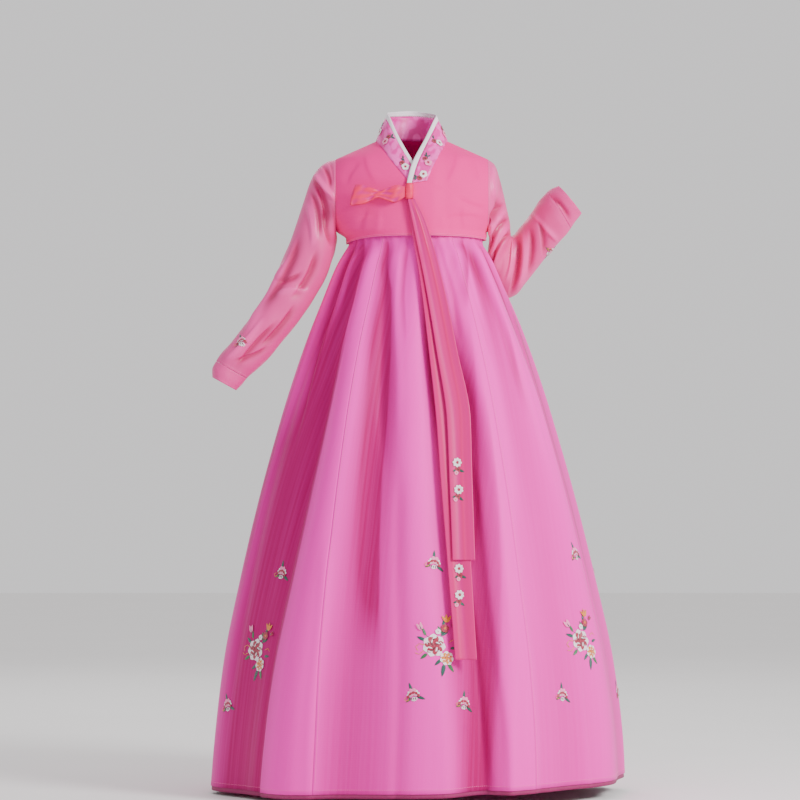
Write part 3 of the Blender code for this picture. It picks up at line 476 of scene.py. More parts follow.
# Where a fold lies over the next one, more layers show and the colour jumps: deep on one side of a
# line, and at once pale on the other. These lines also carry painted shade, in the valleys and over the
# wearer's right side of the skirt, away from the key light. The last column is how deep it gets, 1 being the
# darkest.
SKIRT_LAYER_AND_SHADE_LINES = (
    # top_z, low_z, top_angle, low_angle, right_width, left_width, how deep
    (-170, -350, -53, -40.5, 26, 4, 0.6),
    (-320, -1334, -38.5, -51.8, 62, 5, 0.7),
    (-480, -1334, -42, -53, 260, 5, 0.6),
    (-168, -310, -28, -16.2, 9, 3, 0.6),
    (-285, -1080, -16.2, -13, 50, 4, 0.8),
    (-260, -800, -17, -14.5, 26, 4, 0.5),
    (-166, -340, 46, 28.5, 15, 3, 0.55),
    (-310, -900, 29, 18.5, 24, 6, 0.4),
    (-400, -1334, 32, 19, 44, 6, 0.35),
    (-166, -640, -64, -60, 14, 3, 0.45),
    (-166, -480, -39, -33, 4, 12, 0.35),
    (-166, -620, 9, 7, 20, 4, 0.55),
    (-166, -440, -9, -6, 8, 3, 0.4),
    (-168, -560, 57, 55, 14, 3, 0.35),
    (-168, -520, 70, 67, 14, 4, 0.35),
    (-700, -1334, 9, 12, 34, 26, 0.2),
    (-240, -1000, 78, 80, 30, 8, 0.35),
    (-168, -1334, 112, 118, 50, 6, 0.7),
    (-168, -640, 128, 130, 14, 4, 0.45),
    (-168, -1200, 148, 153, 8, 40, 0.65),
    (-168, -560, 168, 168, 16, 5, 0.5),
    (-168, -1334, 184, 185, 46, 5, 0.7),
    (-168, -700, 201, 200, 5, 18, 0.45),
    (-168, -1100, 216, 213, 6, 44, 0.65),
    (-168, -600, 232, 231, 14, 5, 0.45),
    (-168, -1334, 247, 244, 50, 6, 0.7),
    (-168, -700, 262, 264, 5, 16, 0.4),
    (-260, -1000, -79, -80, 30, 8, 0.35),
)
print("large folds:", len(SKIRT_FOLDS), "fine creases:", len(SKIRT_CREASES), "shades:", len(SKIRT_LAYER_AND_SHADE_LINES))

# %% Skirt surface


def skirt_level(z):
    right, left, front, back = (along(SKIRT_LEVELS, i, z) for i in (1, 2, 3, 4))
    return (left + right) / 2, (left - right) / 2, front, back


def skirt_hem(degrees):
    return SKIRT_HEM + HEM_RISE_TO_LEFT * np.sin(np.radians(degrees))


def large_folds(degrees, z):
    table = np.array(SKIRT_FOLDS, dtype=float)
    mid = ease(-z, -FOLD_TOP_HEIGHT, -FOLD_MID_HEIGHT)
    low = ease(-z, -FOLD_MID_HEIGHT, -SKIRT_HEM)
    start = ease(-z, -FOLDS_BEGIN, -FOLDS_FULL)
    places, reliefs = [], []
    for top_a, mid_a, low_a, top_r, mid_r, low_r in table:
        places.append(top_a + (mid_a - top_a) * mid + (low_a - mid_a) * low)
        reliefs.append((top_r * start + (mid_r - top_r) * mid + (low_r - mid_r) * low) * MM)
    places.append(places[0] + 360)
    reliefs.append(reliefs[0])
    wrapped = (degrees - places[0]) % 360 + places[0]
    relief = np.zeros_like(wrapped)
    for i in range(len(table)):
        inside = (wrapped >= places[i]) & (wrapped <= places[i + 1])
        t = (wrapped - places[i]) / (places[i + 1] - places[i])
        value = reliefs[i] + (reliefs[i + 1] - reliefs[i]) * (1 - np.cos(math.pi * t)) / 2
        relief = np.where(inside, value, relief)
    return relief


CREASE_FADES_IN, CREASE_FADES_OUT, GOES_TO_THE_HEM = (-0.02, 0.18), (0.7, 1.02), -1300
CREASE_WANDERS, CREASE_BENDS = 2.5, 9


def fine_creases(degrees, z, half_width, table):
    """The sum of a table's creases: each is a bell across its line, on one side narrower."""
    relief = np.zeros_like(degrees)
    for top_z, low_z, top_a, low_a, right_w, left_w, depth in table:
        share = (z - top_z * MM) / ((low_z - top_z) * MM)
        ends = 0 if low_z < GOES_TO_THE_HEM else ease(share, *CREASE_FADES_OUT)
        fade = ease(share, *CREASE_FADES_IN) * (1 - ends)
        away = (degrees - top_a - (low_a - top_a) * np.clip(share, 0, 1) + 180) % 360 - 180
        away = np.radians(away) * half_width / MM
        away = away + CREASE_WANDERS * np.sin(share * CREASE_BENDS + top_a)
        width = np.where(away < 0, right_w, left_w)
        relief += depth * MM * fade * np.exp(-((away / width) ** 2))
    return relief


def skirt_surface(degrees, z):
    """Points of the skirt and the relief of its folds, for arrays of angles and heights."""
    degrees, z = np.broadcast_arrays(np.asarray(degrees, dtype=float), np.asarray(z, dtype=float))
    middle, half_width, front, back = skirt_level(z)
    angle = np.radians(degrees)
    depth = np.where(np.cos(angle) > 0, front, back)
    out = unit(np.stack([depth * np.sin(angle), -half_width * np.cos(angle)], axis=-1))
    grow = ease(-z, -SMALL_FOLD_START, -SMALL_FOLD_PEAK) * (1 - ease(-z, -SMALL_FOLD_PEAK, -SMALL_FOLD_END))
    small = SMALL_FOLD_DEPTH * grow * np.cos(SMALL_FOLDS * angle + SMALL_FOLD_UNEVEN * np.sin(2 * angle))
    pleat = PLEAT_DEPTH * (1 - ease(-z, -SKIRT_TOP, -PLEAT_END)) * np.cos(PLEATS * angle)
    from_elbow = np.abs((degrees - DENT_ANGLE + 180) % 360 - 180) / DENT_HALF_ANGLE
    level = np.abs(z - DENT_HEIGHT) / DENT_HALF_HEIGHT
    dent = DENT_DEPTH * (1 - ease(from_elbow, 0, 1)) * (1 - ease(level, 0, 1))
    relief = large_folds(degrees, z) + small + fine_creases(degrees, z, half_width, SKIRT_CREASES)
    moved = relief + pleat - dent
    x = middle + half_width * np.sin(angle) + out[..., 0] * moved
    y = -depth * np.cos(angle) + out[..., 1] * moved
    return np.stack([x, y, z], axis=-1), relief


# %% [markdown]
# ## Skirt panels
#
# Six gores go round the skirt. The maker sews them edge to edge, and on the photo's side two of the
# seams show as fine lines that run down to the hem. Every gore is its own shell with its edges
# 0.3 mm from the next one.

# %% Six gores of organza

SKIRT_PANELS = (
    # node, first_angle, last_angle
    ("skirt_panel_front", -30.0, 32.5),
    ("skirt_panel_front_left", 32.5, 95.0),
    ("skirt_panel_back_left", 95.0, 155.0),
    ("skirt_panel_back", 155.0, 215.0),
    ("skirt_panel_back_right", 215.0, 270.0),
    ("skirt_panel_front_right", 270.0, 330.0),
)
SKIRT_ROWS, SKIRT_STEP_DEGREES, ROWS_CLOSER_ABOVE = 140, 0.5, 1.35
SEAM_GAP, ORGANZA_THICKNESS = 0.3 * MM, 0.9 * MM
# How deep the colour is on level cloth, how much a fold changes it, as painted shade in valleys and
# painted light on crests, and what counts as a full fold at the band and at the hem.
DEEP_ON_LEVEL, DEEP_BY_FOLD_SHADE, DEEP_BY_LAYER_AND_SHADE = 0.24, 0.36, 1.2
FULL_FOLD, FULL_FOLD_MORE_BELOW, FULL_FOLD_GROWS = 3.4 * MM, 15 * MM, (0.2, 0.9)
INSIDE_SKIRT, INSIDE_HEM = np.array([0, 0, -0.7]), np.array([0, 0, -1.3])


def down_the_skirt(degrees):
    """Heights from the band to the hem, closer together near the band where the folds are small."""
    share = np.linspace(0, 1, SKIRT_ROWS) ** ROWS_CLOSER_ABOVE
    return SKIRT_TOP + (skirt_hem(degrees) - SKIRT_TOP)[None, :] * share[:, None]


def organza_name(node):
    return node.replace("skirt_", "organza_")


def skirt_panel(node, first, last):
    columns = round((last - first) / SKIRT_STEP_DEGREES) + 1
    heights = down_the_skirt(np.linspace(first, last, columns))
    degrees = np.broadcast_to(np.linspace(first, last, columns), heights.shape)
    points, relief = skirt_surface(degrees, heights)
    for place, inside in ((0, 1), (-1, -2)):
        points[:, place] += unit(points[:, inside] - points[:, place]) * SEAM_GAP / 2
    full = FULL_FOLD + FULL_FOLD_MORE_BELOW * ease(-heights, *FULL_FOLD_GROWS)
    # The deep colour: painted shade in valleys and painted light on crests from the relief, and layered
    # cloth with painted shade from the lines.
    layers_and_shade = fine_creases(degrees, heights, skirt_level(heights)[1], SKIRT_LAYER_AND_SHADE_LINES) / MM
    deep = np.clip(DEEP_ON_LEVEL - relief / full * DEEP_BY_FOLD_SHADE + DEEP_BY_LAYER_AND_SHADE * layers_and_shade, 0, 1)
    cloth(organza_name(node), points, ORGANZA, ORGANZA_THICKNESS, INSIDE_SKIRT,
          deep=deep, replaces=[node])


for node, first, last in SKIRT_PANELS:
    skirt_panel(node, first, last)

# %% Under layer at the hem

UNDER_TOP, UNDER_BELOW, UNDER_INSIDE, UNDER_ROWS = 60 * MM, 9 * MM, 2.2 * MM, 10
TAFFETA_THICKNESS = 0.8 * MM


def under_layer():
    degrees = np.arange(0, 360, SKIRT_STEP_DEGREES)
    heights = skirt_hem(degrees) + np.linspace(UNDER_TOP, -UNDER_BELOW, UNDER_ROWS)[:, None]
    points, _ = skirt_surface(np.broadcast_to(degrees, heights.shape), heights)
    across = np.roll(points, -1, axis=1) - np.roll(points, 1, axis=1)
    inwards = unit(np.stack([-across[..., 1], across[..., 0], 0 * across[..., 0]], axis=-1))
    cloth("taffeta_under_layer", points + inwards * UNDER_INSIDE, TAFFETA, TAFFETA_THICKNESS,
          INSIDE_HEM, closed=True, replaces=["skirt_under_layer"])


under_layer()

# %% [markdown]
# ## The jacket's form
#
# The body of a jeogori is cut flat and hangs from the shoulder line. Chest and back are read from
# levels, as on the skirt. The armhole is a straight flat seam, set a little past the shoulder. The
# left front laps over the right one, so its cloth lies a few millimetres further out.

# %% Jacket tables

TORSO_LEVELS = (
    # height, middle_x, front_depth, back_depth
    (-196, 1, 116, 103),
    (-172, 0, 118, 105),
    (-157, -9, 119, 107),
    (-110, -9, 121, 111),
    (-62, -9, 115, 109),
    (-25, -9, 103, 100),
    (0, -9, 88, 88),
    (20, -9, 66, 74),
    (37, -9, 44, 60),
    (46, -9, 34, 54),
)
BODY_MIDDLE_X = -9 * MM
INSIDE_JACKET = np.array([BODY_MIDDLE_X, 0, -0.1])
HEM_HALF_WIDTH, ARMHOLE_HALF_SPAN = 151 * MM, 163 * MM
ARMHOLE_TOP, ARMHOLE_BOTTOM, ARMHOLE_HALF_DEPTH = -2 * MM, -157 * MM, 68 * MM
NECK_HALF_WIDTH, NECK_HEIGHT = 76 * MM, 37 * MM
JACKET_HEM, HEM_DROP_RIGHT, HEM_DROP_LEFT, HEM_DROP_BACK = -172 * MM, 12 * MM, 4 * MM, 5 * MM
LAP_LIFT, LAP_FULL_TO, LAP_ENDS_AT = 5 * MM, 42 * MM, 76 * MM
LEFT_FRONT_EDGE_X, RIGHT_FRONT_EDGE_X = -9 * MM, 30 * MM
MOST_ANGLE = math.radians(89.5)
COLLAR_STATIONS = (
    # seam_x, seam_z, top_x, top_y, top_z
    (4, -83, 16, -114, -62),
    (-18, -54, -7, -101, -27),
    (-52, -11, -38, -74, 27),
    (-78, 26, -60, -38, 74),
    (-85, 37, -66, 2, 88),
    (-64, 41, -46, 42, 94),
    (-9, 43, -9, 60, 96),
    (46, 41, 29, 42, 92),
    (67, 37, 48, 2, 84),
    (61, 26, 42, -38, 66),
    (42, -11, 19, -76, 18),
    (30, -36, 2, -104, -22),
    (22, -57, -9, -117, -61),
)
RIGHT_NECK_STATION, LEFT_NECK_STATION, LAST_STATION = 4, 8, 12
COLLAR_LIFT_STATIONS = (9.0, 11.0)
# Soft creases of the body, as lines in front view.
BODY_CREASES = (
    # x, z at one end, x, z at the other, bend, width, depth, side (front is -1, back is 1)
    (-168, -118, -92, -96, 5, 9, -2.6, -1),
    (-166, -140, -70, -132, 6, 11, -2.2, -1),
    (-120, -180, -104, -112, 4, 9, -2.2, -1),
    (-84, -178, -78, -120, -3, 8, 1.8, -1),
    (-150, -60, -120, -12, 4, 10, -2.2, -1),
    (-108, 8, -84, -60, -5, 12, 1.8, -1),
    (150, -112, 84, -88, 5, 9, -2.6, -1),
    (148, -136, 60, -138, -6, 12, -2.4, -1),
    (104, -176, 96, -104, 5, 9, -2.0, -1),
    (66, -176, 58, -126, 3, 7, 1.6, -1),
    (132, -52, 104, -6, -4, 10, -2.2, -1),
    (90, 8, 66, -62, 5, 12, 1.8, -1),
    (-150, -110, -60, -150, 8, 12, -2.6, 1),
    (-154, -60, -80, -96, 6, 12, -2.4, 1),
    (-30, 20, -22, -120, 6, 14, -2.0, 1),
    (20, 8, 34, -150, -6, 16, 2.0, 1),
    (132, -108, 50, -150, -8, 12, -2.6, 1),
    (134, -60, 66, -90, -6, 11, -2.4, 1),
    (-100, -176, -92, -120, 4, 9, -2.0, 1),
    (86, -176, 80, -126, -4, 8, -2.0, 1),
)
print("creases on the jacket's body:", len(BODY_CREASES))

# %% Jacket surface

SHARP_FLANK, SOFT_FLANK = 0.45, 1.35
ONE_SIDE_ONLY, LINE_FADES_IN, LINE_FADES_OUT = 2.5, (-0.12, 0.3), (0.7, 1.12)


def crease_relief(points, normals, creases):
    """How far each point moves for creases drawn as lines in front view, one flank sharper."""
    x, z = points[..., 0] / MM, points[..., 2] / MM
    relief = np.zeros(x.shape)
    for x0, z0, x1, z1, bend, width, depth, side in creases:
        length = math.hypot(x1 - x0, z1 - z0)
        way_x, way_z = (x1 - x0) / length, (z1 - z0) / length
        share = ((x - x0) * way_x + (z - z0) * way_z) / length
        away = (x - x0) * -way_z + (z - z0) * way_x - bend * np.sin(math.pi * np.clip(share, 0, 1))
        flank = np.where(away < 0, SHARP_FLANK * width, SOFT_FLANK * width)
        fade = ease(share, *LINE_FADES_IN) * (1 - ease(share, *LINE_FADES_OUT))
        seen = np.clip(side * normals[..., 1] * ONE_SIDE_ONLY, 0, 1)
        relief += depth * MM * fade * seen * np.exp(-((away / flank) ** 2))
    return relief


def armhole_depth(z):
    middle, half = (ARMHOLE_TOP + ARMHOLE_BOTTOM) / 2, (ARMHOLE_TOP - ARMHOLE_BOTTOM) / 2
    return ARMHOLE_HALF_DEPTH * np.sqrt(np.clip(1 - ((z - middle) / half) ** 2, 0, 1))


def torso_half_width(z, depth):
    armpit = np.interp(z, (JACKET_HEM, ARMHOLE_BOTTOM), (HEM_HALF_WIDTH, ARMHOLE_HALF_SPAN))
    cut = ARMHOLE_HALF_SPAN / np.sqrt(1 - (armhole_depth(z) / depth) ** 2)
    climb = (z - ARMHOLE_TOP) / (NECK_HEIGHT - ARMHOLE_TOP)
    shoulder = ARMHOLE_HALF_SPAN + (NECK_HALF_WIDTH - ARMHOLE_HALF_SPAN) * climb
    return np.where(z < ARMHOLE_BOTTOM, armpit, np.where(z < ARMHOLE_TOP, cut, shoulder))


def torso_depth(z, side):
    return along(TORSO_LEVELS, 2 if side < 0 else 3, z)


def lap_lift(x_from_middle):
    return LAP_LIFT * (1 - ease(x_from_middle, LAP_FULL_TO, LAP_ENDS_AT))


def torso_point(angle, z, side, lapped=False):
    depth = torso_depth(z, side)
    x = torso_half_width(z, depth) * np.sin(angle)
    y = side * depth * np.cos(angle) - (lap_lift(x) if lapped else 0)
    return np.stack([along(TORSO_LEVELS, 1, z) + x, y, z], axis=-1)


def torso_angle(x, z, side):
    ratio = (x - along(TORSO_LEVELS, 1, z)) / torso_half_width(z, torso_depth(z, side))
    return np.arcsin(np.clip(ratio, -1, 1))


def jacket_hem(angle, side):
    around = np.sin(angle)
    drop = np.where(around < 0, HEM_DROP_RIGHT, HEM_DROP_LEFT) * around**4
    return JACKET_HEM - drop - (HEM_DROP_BACK * np.cos(angle) ** 2 if side > 0 else 0)


def station_curve(index, at):
    values = np.array([row[index] for row in COLLAR_STATIONS], dtype=float) * MM
    i = np.clip(np.floor(at).astype(int), 0, len(values) - 2)
    t = at - i
    before, after = np.maximum(i - 1, 0), np.minimum(i + 2, len(values) - 1)
    p0, p1, p2, p3 = values[before], values[i], values[i + 1], values[after]
    curve = 2 * p1 + (p2 - p0) * t + (2 * p0 - 5 * p1 + 4 * p2 - p3) * t**2
    return 0.5 * (curve + (3 * p1 - p0 - 3 * p2 + p3) * t**3)


def neck_seam(at):
    x, z = station_curve(0, at), station_curve(1, at)
    behind = (at > RIGHT_NECK_STATION) & (at < LEFT_NECK_STATION)
    z = np.where(behind, np.maximum(z, NECK_HEIGHT), np.minimum(z, NECK_HEIGHT))
    angle = np.where(behind, torso_angle(x, z, 1), torso_angle(x, z, -1))
    angle = np.where(np.abs(at - RIGHT_NECK_STATION) < 1e-6, -math.pi / 2, angle)
    angle = np.where(np.abs(at - LEFT_NECK_STATION) < 1e-6, math.pi / 2, angle)
    return angle, z, behind


# %% [markdown]
# ## Fronts and back
#
# A panel's four edges are known: hem, side seam with armhole, shoulder line, and front edge with neck
# seam. The cloth between them is blended from those edges, as a draughtsman fairs a patch.

# %% Jacket panels


def patch(bottom, top, left, right):
    """A grid between four edges, as angle and height on the torso."""
    s = np.linspace(0, 1, len(bottom))[None, :, None]
    t = np.linspace(0, 1, len(left))[:, None, None]
    low = (1 - s) * bottom[0] + s * bottom[-1]
    high = (1 - s) * top[0] + s * top[-1]
    sides = (1 - s) * left[:, None] + s * right[:, None]
    grid = (1 - t) * (bottom[None] - low) + t * (top[None] - high) + sides
    grid[1:-1, 1:-1, 0] = np.clip(grid[1:-1, 1:-1, 0], -MOST_ANGLE, MOST_ANGLE)
    return grid


def armhole_border(rows, side, sign, seam_rows):
    start = jacket_hem(np.array(sign * math.pi / 2), side)
    seam = np.linspace(start, ARMHOLE_BOTTOM, seam_rows + 1)
    turn = np.linspace(0, math.pi, rows - seam_rows)[1:]
    edge = ARMHOLE_BOTTOM + (ARMHOLE_TOP - ARMHOLE_BOTTOM) * (1 - np.cos(turn)) / 2
    z = np.concatenate([seam, edge])
    inside = np.clip(armhole_depth(z) / torso_depth(z, side), 0, 1)
    return np.stack([sign * np.arccos(np.where(z <= ARMHOLE_BOTTOM, 0, inside)), z], axis=-1)


def shoulder_border(columns, sign):
    z = np.linspace(NECK_HEIGHT, ARMHOLE_TOP, columns)
    return np.stack([np.full(columns, sign * math.pi / 2), z], axis=-1)


def front_border(rows, edge_x, first_station, last_station, low_rows):
    angle, z, _ = neck_seam(np.linspace(first_station, last_station, rows - low_rows))
    low_z = np.linspace(JACKET_HEM, z[0], low_rows + 1)[:-1]
    reach = np.linspace(0, 1, low_rows + 1)[:-1]
    x_top = station_curve(0, np.array([float(first_station)]))[0]
    low_x = edge_x + (x_top - edge_x) * (0 if edge_x < x_top else reach**2)
    low = np.stack([torso_angle(low_x + 0 * low_z, low_z, -1), low_z], axis=-1)
    return np.concatenate([low, np.stack([angle, z], axis=-1)])


FRONT_COLUMNS, LOW_ROWS, NECK_ROWS_A_STATION, SEAM_ROWS = 56, 30, 12, 9
CREPE_THICKNESS, EDGE_CELLS = 1.2 * MM, 7


def cells_to_edge(count):
    return np.minimum(np.arange(count), count - 1 - np.arange(count))


def body_cloth(name, node, grid, side, lapped, neck):
    """One panel: its creases fade out at its edges, so that the seams stay where they are sewn."""
    points = torso_point(grid[..., 0], grid[..., 1], side, lapped)
    core = points * np.array([0, 0, 0.75]) + np.array([BODY_MIDDLE_X, 0, -30 * MM])
    normals = facing(grid_normals(points), points, core)
    rows, columns = points.shape[:2]
    fade = ease(np.minimum.outer(cells_to_edge(rows), cells_to_edge(columns)), 0, EDGE_CELLS)
    points = points + normals * (crease_relief(points, normals, BODY_CREASES) * fade)[..., None]
    on_side = np.abs(points[..., 1]) < 1e-6
    points[..., 1] += np.where(on_side, side * SEAM_GAP / 2, 0)
    rows_at, columns_at, inside = neck
    edge = points[rows_at, columns_at]
    points[rows_at, columns_at] = edge + unit(points[inside] - edge) * SEAM_GAP / 2
    piece = cloth(name, points, CREPE, CREPE_THICKNESS, INSIDE_JACKET, replaces=[node])
    return piece, points


def front_panel(name, node, sign, edge_x, first_station, last_station, lapped):
    rows = LOW_ROWS + abs(last_station - first_station) * NECK_ROWS_A_STATION + 1
    left = front_border(rows, edge_x, first_station, last_station, LOW_ROWS)
    right = armhole_border(rows, -1, sign, SEAM_ROWS)
    top = shoulder_border(FRONT_COLUMNS, sign)
    hem_angle = np.linspace(left[0, 0], right[0, 0], FRONT_COLUMNS)
    bottom = np.stack([hem_angle, jacket_hem(hem_angle, -1)], axis=-1)
    left[0, 1], right[0, 1] = bottom[0, 1], bottom[-1, 1]
    left[-1] = top[0]
    grid = patch(bottom, top, left, right)
    neck_rows = slice(LOW_ROWS, rows - 1)
    return body_cloth(name, node, grid, -1, lapped, (neck_rows, 0, (neck_rows, 1)))


BACK_ROWS, SHOULDER_COLUMNS = 80, 24


def back_panel():
    stations = np.linspace(RIGHT_NECK_STATION, LEFT_NECK_STATION, 4 * NECK_ROWS_A_STATION + 1)
    left, right = (armhole_border(BACK_ROWS, 1, sign, SEAM_ROWS) for sign in (-1, 1))
    angle, z, _ = neck_seam(stations)
    ridge = shoulder_border(SHOULDER_COLUMNS + 1, -1)[::-1]
    neck = np.stack([angle, z], axis=-1)
    top = np.concatenate([ridge[:-1], neck, shoulder_border(SHOULDER_COLUMNS + 1, 1)[1:]])
    hem_angle = np.linspace(-math.pi / 2, math.pi / 2, len(top))
    bottom = np.stack([hem_angle, jacket_hem(hem_angle, 1)], axis=-1)
    left[0], right[0] = bottom[0], bottom[-1]
    grid = patch(bottom, top, left, right)
    middle = slice(SHOULDER_COLUMNS + 1, SHOULDER_COLUMNS + len(stations) - 1)
    return body_cloth("crepe_back", "jacket_back", grid, 1, False, (-1, middle, (-2, middle)))


FRONT_LEFT, FRONT_LEFT_POINTS = front_panel(
    "crepe_front_left", "jacket_front_left", 1, LEFT_FRONT_EDGE_X, LAST_STATION, LEFT_NECK_STATION, True
)
FRONT_RIGHT, FRONT_RIGHT_POINTS = front_panel(
    "crepe_front_right", "jacket_front_right", -1, RIGHT_FRONT_EDGE_X, 0, RIGHT_NECK_STATION, False
)
BACK, BACK_POINTS = back_panel()

# %% [markdown]
# ## Collar
#
# The git is a stiffened band of brocade, sewn to the neck seam. Over its upper edge goes the
# dongjeong, a narrow strip of white cotton stiffened with paper, which is changed when it gets
# soiled. The band is a little domed, because its padding is thickest in the middle.

# %% Collar band and white edge

COLLAR_THICKNESS, COLLAR_CROWN, COLLAR_GAP = 1.7 * MM, 1.2 * MM, 0.5 * MM
COLLAR_OVERLAP, COLLAR_LAID_ON = 1.6 * MM, 0.8 * MM
WHITE_EDGE_WIDTH, WHITE_EDGE_THICKNESS, WHITE_EDGE_CROWN = 11 * MM, 1.0 * MM, 0.5 * MM
COLLAR_COLUMNS, COLLAR_ROWS, WHITE_EDGE_ROWS = 241, 9, 5
NECK_AXIS = np.array([BODY_MIDDLE_X, 4 * MM, 0])


def out_of_neck(points):
    """Directions out of a band that runs round the neck."""
    axis = points[0] * np.array([0, 0, 1]) + NECK_AXIS
    return facing(grid_normals(points), points, axis[None])


def collar():
    at = np.linspace(0, LAST_STATION, COLLAR_COLUMNS)
    angle, z, behind = neck_seam(at)
    over = at > LEFT_NECK_STATION
    front = torso_point(angle, z, -1)
    front[:, 1] -= np.where(over, lap_lift(front[:, 0] - BODY_MIDDLE_X), 0)
    seam = np.where(behind[:, None], torso_point(angle, z, 1), front)
    top = np.stack([station_curve(i, at) for i in (2, 3, 4)], axis=-1)
    top[:, 1] -= np.where(over, LAP_LIFT * ease(at, *COLLAR_LIFT_STATIONS), 0)
    seam = seam - unit(top - seam) * COLLAR_OVERLAP
    share = np.linspace(0, 1, COLLAR_ROWS)
    points = np.stack([seam + (top - seam) * f for f in share])
    normals = out_of_neck(points)
    raised = COLLAR_CROWN * np.sin(share * math.pi) + COLLAR_LAID_ON * (1 - ease(share, 0, 0.5))
    points = points + normals * raised[:, None, None]
    band = cloth("brocade_collar", points, BROCADE, COLLAR_THICKNESS, NECK_AXIS,
                 replaces=["collar_band"])
    direction = unit(points[-1] - points[-3])
    start = points[-1] + direction * COLLAR_GAP
    rise = np.linspace(0, 1, WHITE_EDGE_ROWS)
    edge = np.stack([start + direction * WHITE_EDGE_WIDTH * f for f in rise])
    edge = edge + normals[-1] * (WHITE_EDGE_CROWN * np.sin(rise * math.pi))[:, None, None]
    white = cloth("cotton_collar_edge", edge, COTTON, WHITE_EDGE_THICKNESS, NECK_AXIS,
                  replaces=["collar_white_edge"])
    return band, white, points, edge


COLLAR, WHITE_EDGE, COLLAR_POINTS, EDGE_POINTS = collar()

# %% [markdown]
# ## Sleeves
#
# A jeogori sleeve is one straight piece, folded along the top and sewn along the bottom. On a bent
# arm the spare length is pushed into overlapping folds in the crook of the elbow, and on a hanging
# arm long soft folds run from the shoulder down. The rings below follow the arm. The creases were
# placed one by one at the places where the photo shows them, and in the same manner behind.

# %% Sleeve tables

RIGHT_SLEEVE_RINGS = (
    # crown_x, crown_z, under_x, under_z, middle_y, half_depth, fullness
    (-172, -2, -172, -157, 0, 68, 0),
    (-189, -7, -171, -163, 0, 68, 0),
    (-205, -17, -170, -170, -1, 67, 1),
    (-218, -32, -170, -178, -2, 66, 0),
    (-230, -58, -172, -189, -4, 64, 0),
    (-242, -95, -175, -204, -6, 61, 1),
    (-254, -134, -181, -223, -9, 58, 2),
    (-269, -176, -189, -246, -12, 56, 0),
    (-284, -211, -199, -269, -15, 54, 0),
    (-299, -247, -213, -292, -18, 52, 1),
    (-318, -287, -229, -319, -22, 50, 2),
    (-339, -321, -247, -346, -26, 48, 0),
    (-359, -349, -268, -373, -30, 46, 1),
    (-378, -374, -291, -401, -33, 43, 0),
    (-398, -399, -315, -430, -36, 40, 1),
    (-415, -418, -341, -455, -38, 36, 2),
    (-428, -437, -363, -475, -40, 30, 0),
    (-436, -455, -374, -489, -41, 29, 1),
    (-436, -472, -385, -500, -42, 27, 0),
)
LEFT_SLEEVE_RINGS = (
    # the same columns
    (154, -2, 154, -157, 0, 68, 0),
    (167, -11, 156, -164, 5, 67, 0),
    (176, -28, 158, -170, 12, 66, 0),
    (183, -50, 158, -176, 21, 64, 0),
    (190, -78, 157, -183, 32, 61, 0),
    (197, -107, 156, -191, 44, 58, 1),
    (202, -130, 155, -202, 56, 55, 3),
    (205, -147, 156, -217, 68, 52, -1),
    (206, -156, 160, -238, 80, 50, 3),
    (207, -160, 168, -262, 90, 49, -1),
    (208, -161, 179, -283, 97, 49, 2),
    (211, -160, 198, -297, 100, 49, 0),
    (216, -156, 219, -289, 97, 48, 1),
    (224, -146, 239, -264, 90, 46, 2),
    (234, -133, 260, -237, 80, 45, 0),
    (245, -120, 279, -213, 69, 43, 1),
    (255, -106, 295, -194, 58, 41, 0),
    (264, -92, 310, -178, 47, 39, 1),
    (274, -80, 324, -163, 36, 37, 1),
    (283, -70, 334, -149, 27, 34, 0),
    (294, -63, 345, -133, 18, 31, 1),
    (307, -58, 357, -118, 9, 28, 0),
)
RIGHT_CUFF_RING, LEFT_CUFF_RING = 16, 19
SLEEVE_FOLDS_AROUND, SLEEVE_FOLD_DEPTH, FOLD_TURN_PER_RING, FOLD_START_RING = 3, 2.4 * MM, 11, 3
RIGHT_SLEEVE_CREASES = (
    # x, z at one end, x, z at the other, bend, width, depth, side, as on the jacket's body
    (-221, -34, -168, -102, -3, 5, 5.0, -1),
    (-222, -46, -190, -150, 5, 7, -5.0, -1),
    (-226, -74, -208, -172, 5, 6, -3.6, -1),
    (-200, -20, -184, -66, 3, 5, -3.2, -1),
    (-186, -8, -176, -60, 2, 5, -2.6, -1),
    (-234, -100, -222, -190, 4, 8, 3.0, -1),
    (-200, -120, -182, -190, -3, 6, -3.4, -1),
    (-252, -176, -330, -322, 8, 9, -4.2, -1),
    (-276, -220, -362, -372, -6, 8, 3.6, -1),
    (-214, -206, -262, -300, 6, 8, -3.8, -1),
    (-246, -250, -304, -262, 6, 6, -3.6, -1),
    (-232, -286, -300, -292, -5, 6, 3.0, -1),
    (-262, -322, -330, -404, 4, 7, -3.4, -1),
    (-300, -356, -382, -448, -4, 6, -3.0, -1),
    (-330, -350, -404, -432, 3, 6, 2.6, -1),
    (-318, -408, -388, -436, 4, 5, -2.6, -1),
    (-216, -36, -186, -150, 5, 8, -4.0, 1),
    (-236, -90, -210, -196, -5, 9, 3.2, 1),
    (-250, -150, -300, -290, 6, 9, -4.0, 1),
    (-208, -200, -262, -310, -6, 8, -3.6, 1),
    (-250, -248, -312, -270, 5, 7, -3.4, 1),
    (-290, -300, -370, -400, 6, 8, 3.2, 1),
    (-280, -352, -352, -440, -4, 7, -3.2, 1),
)
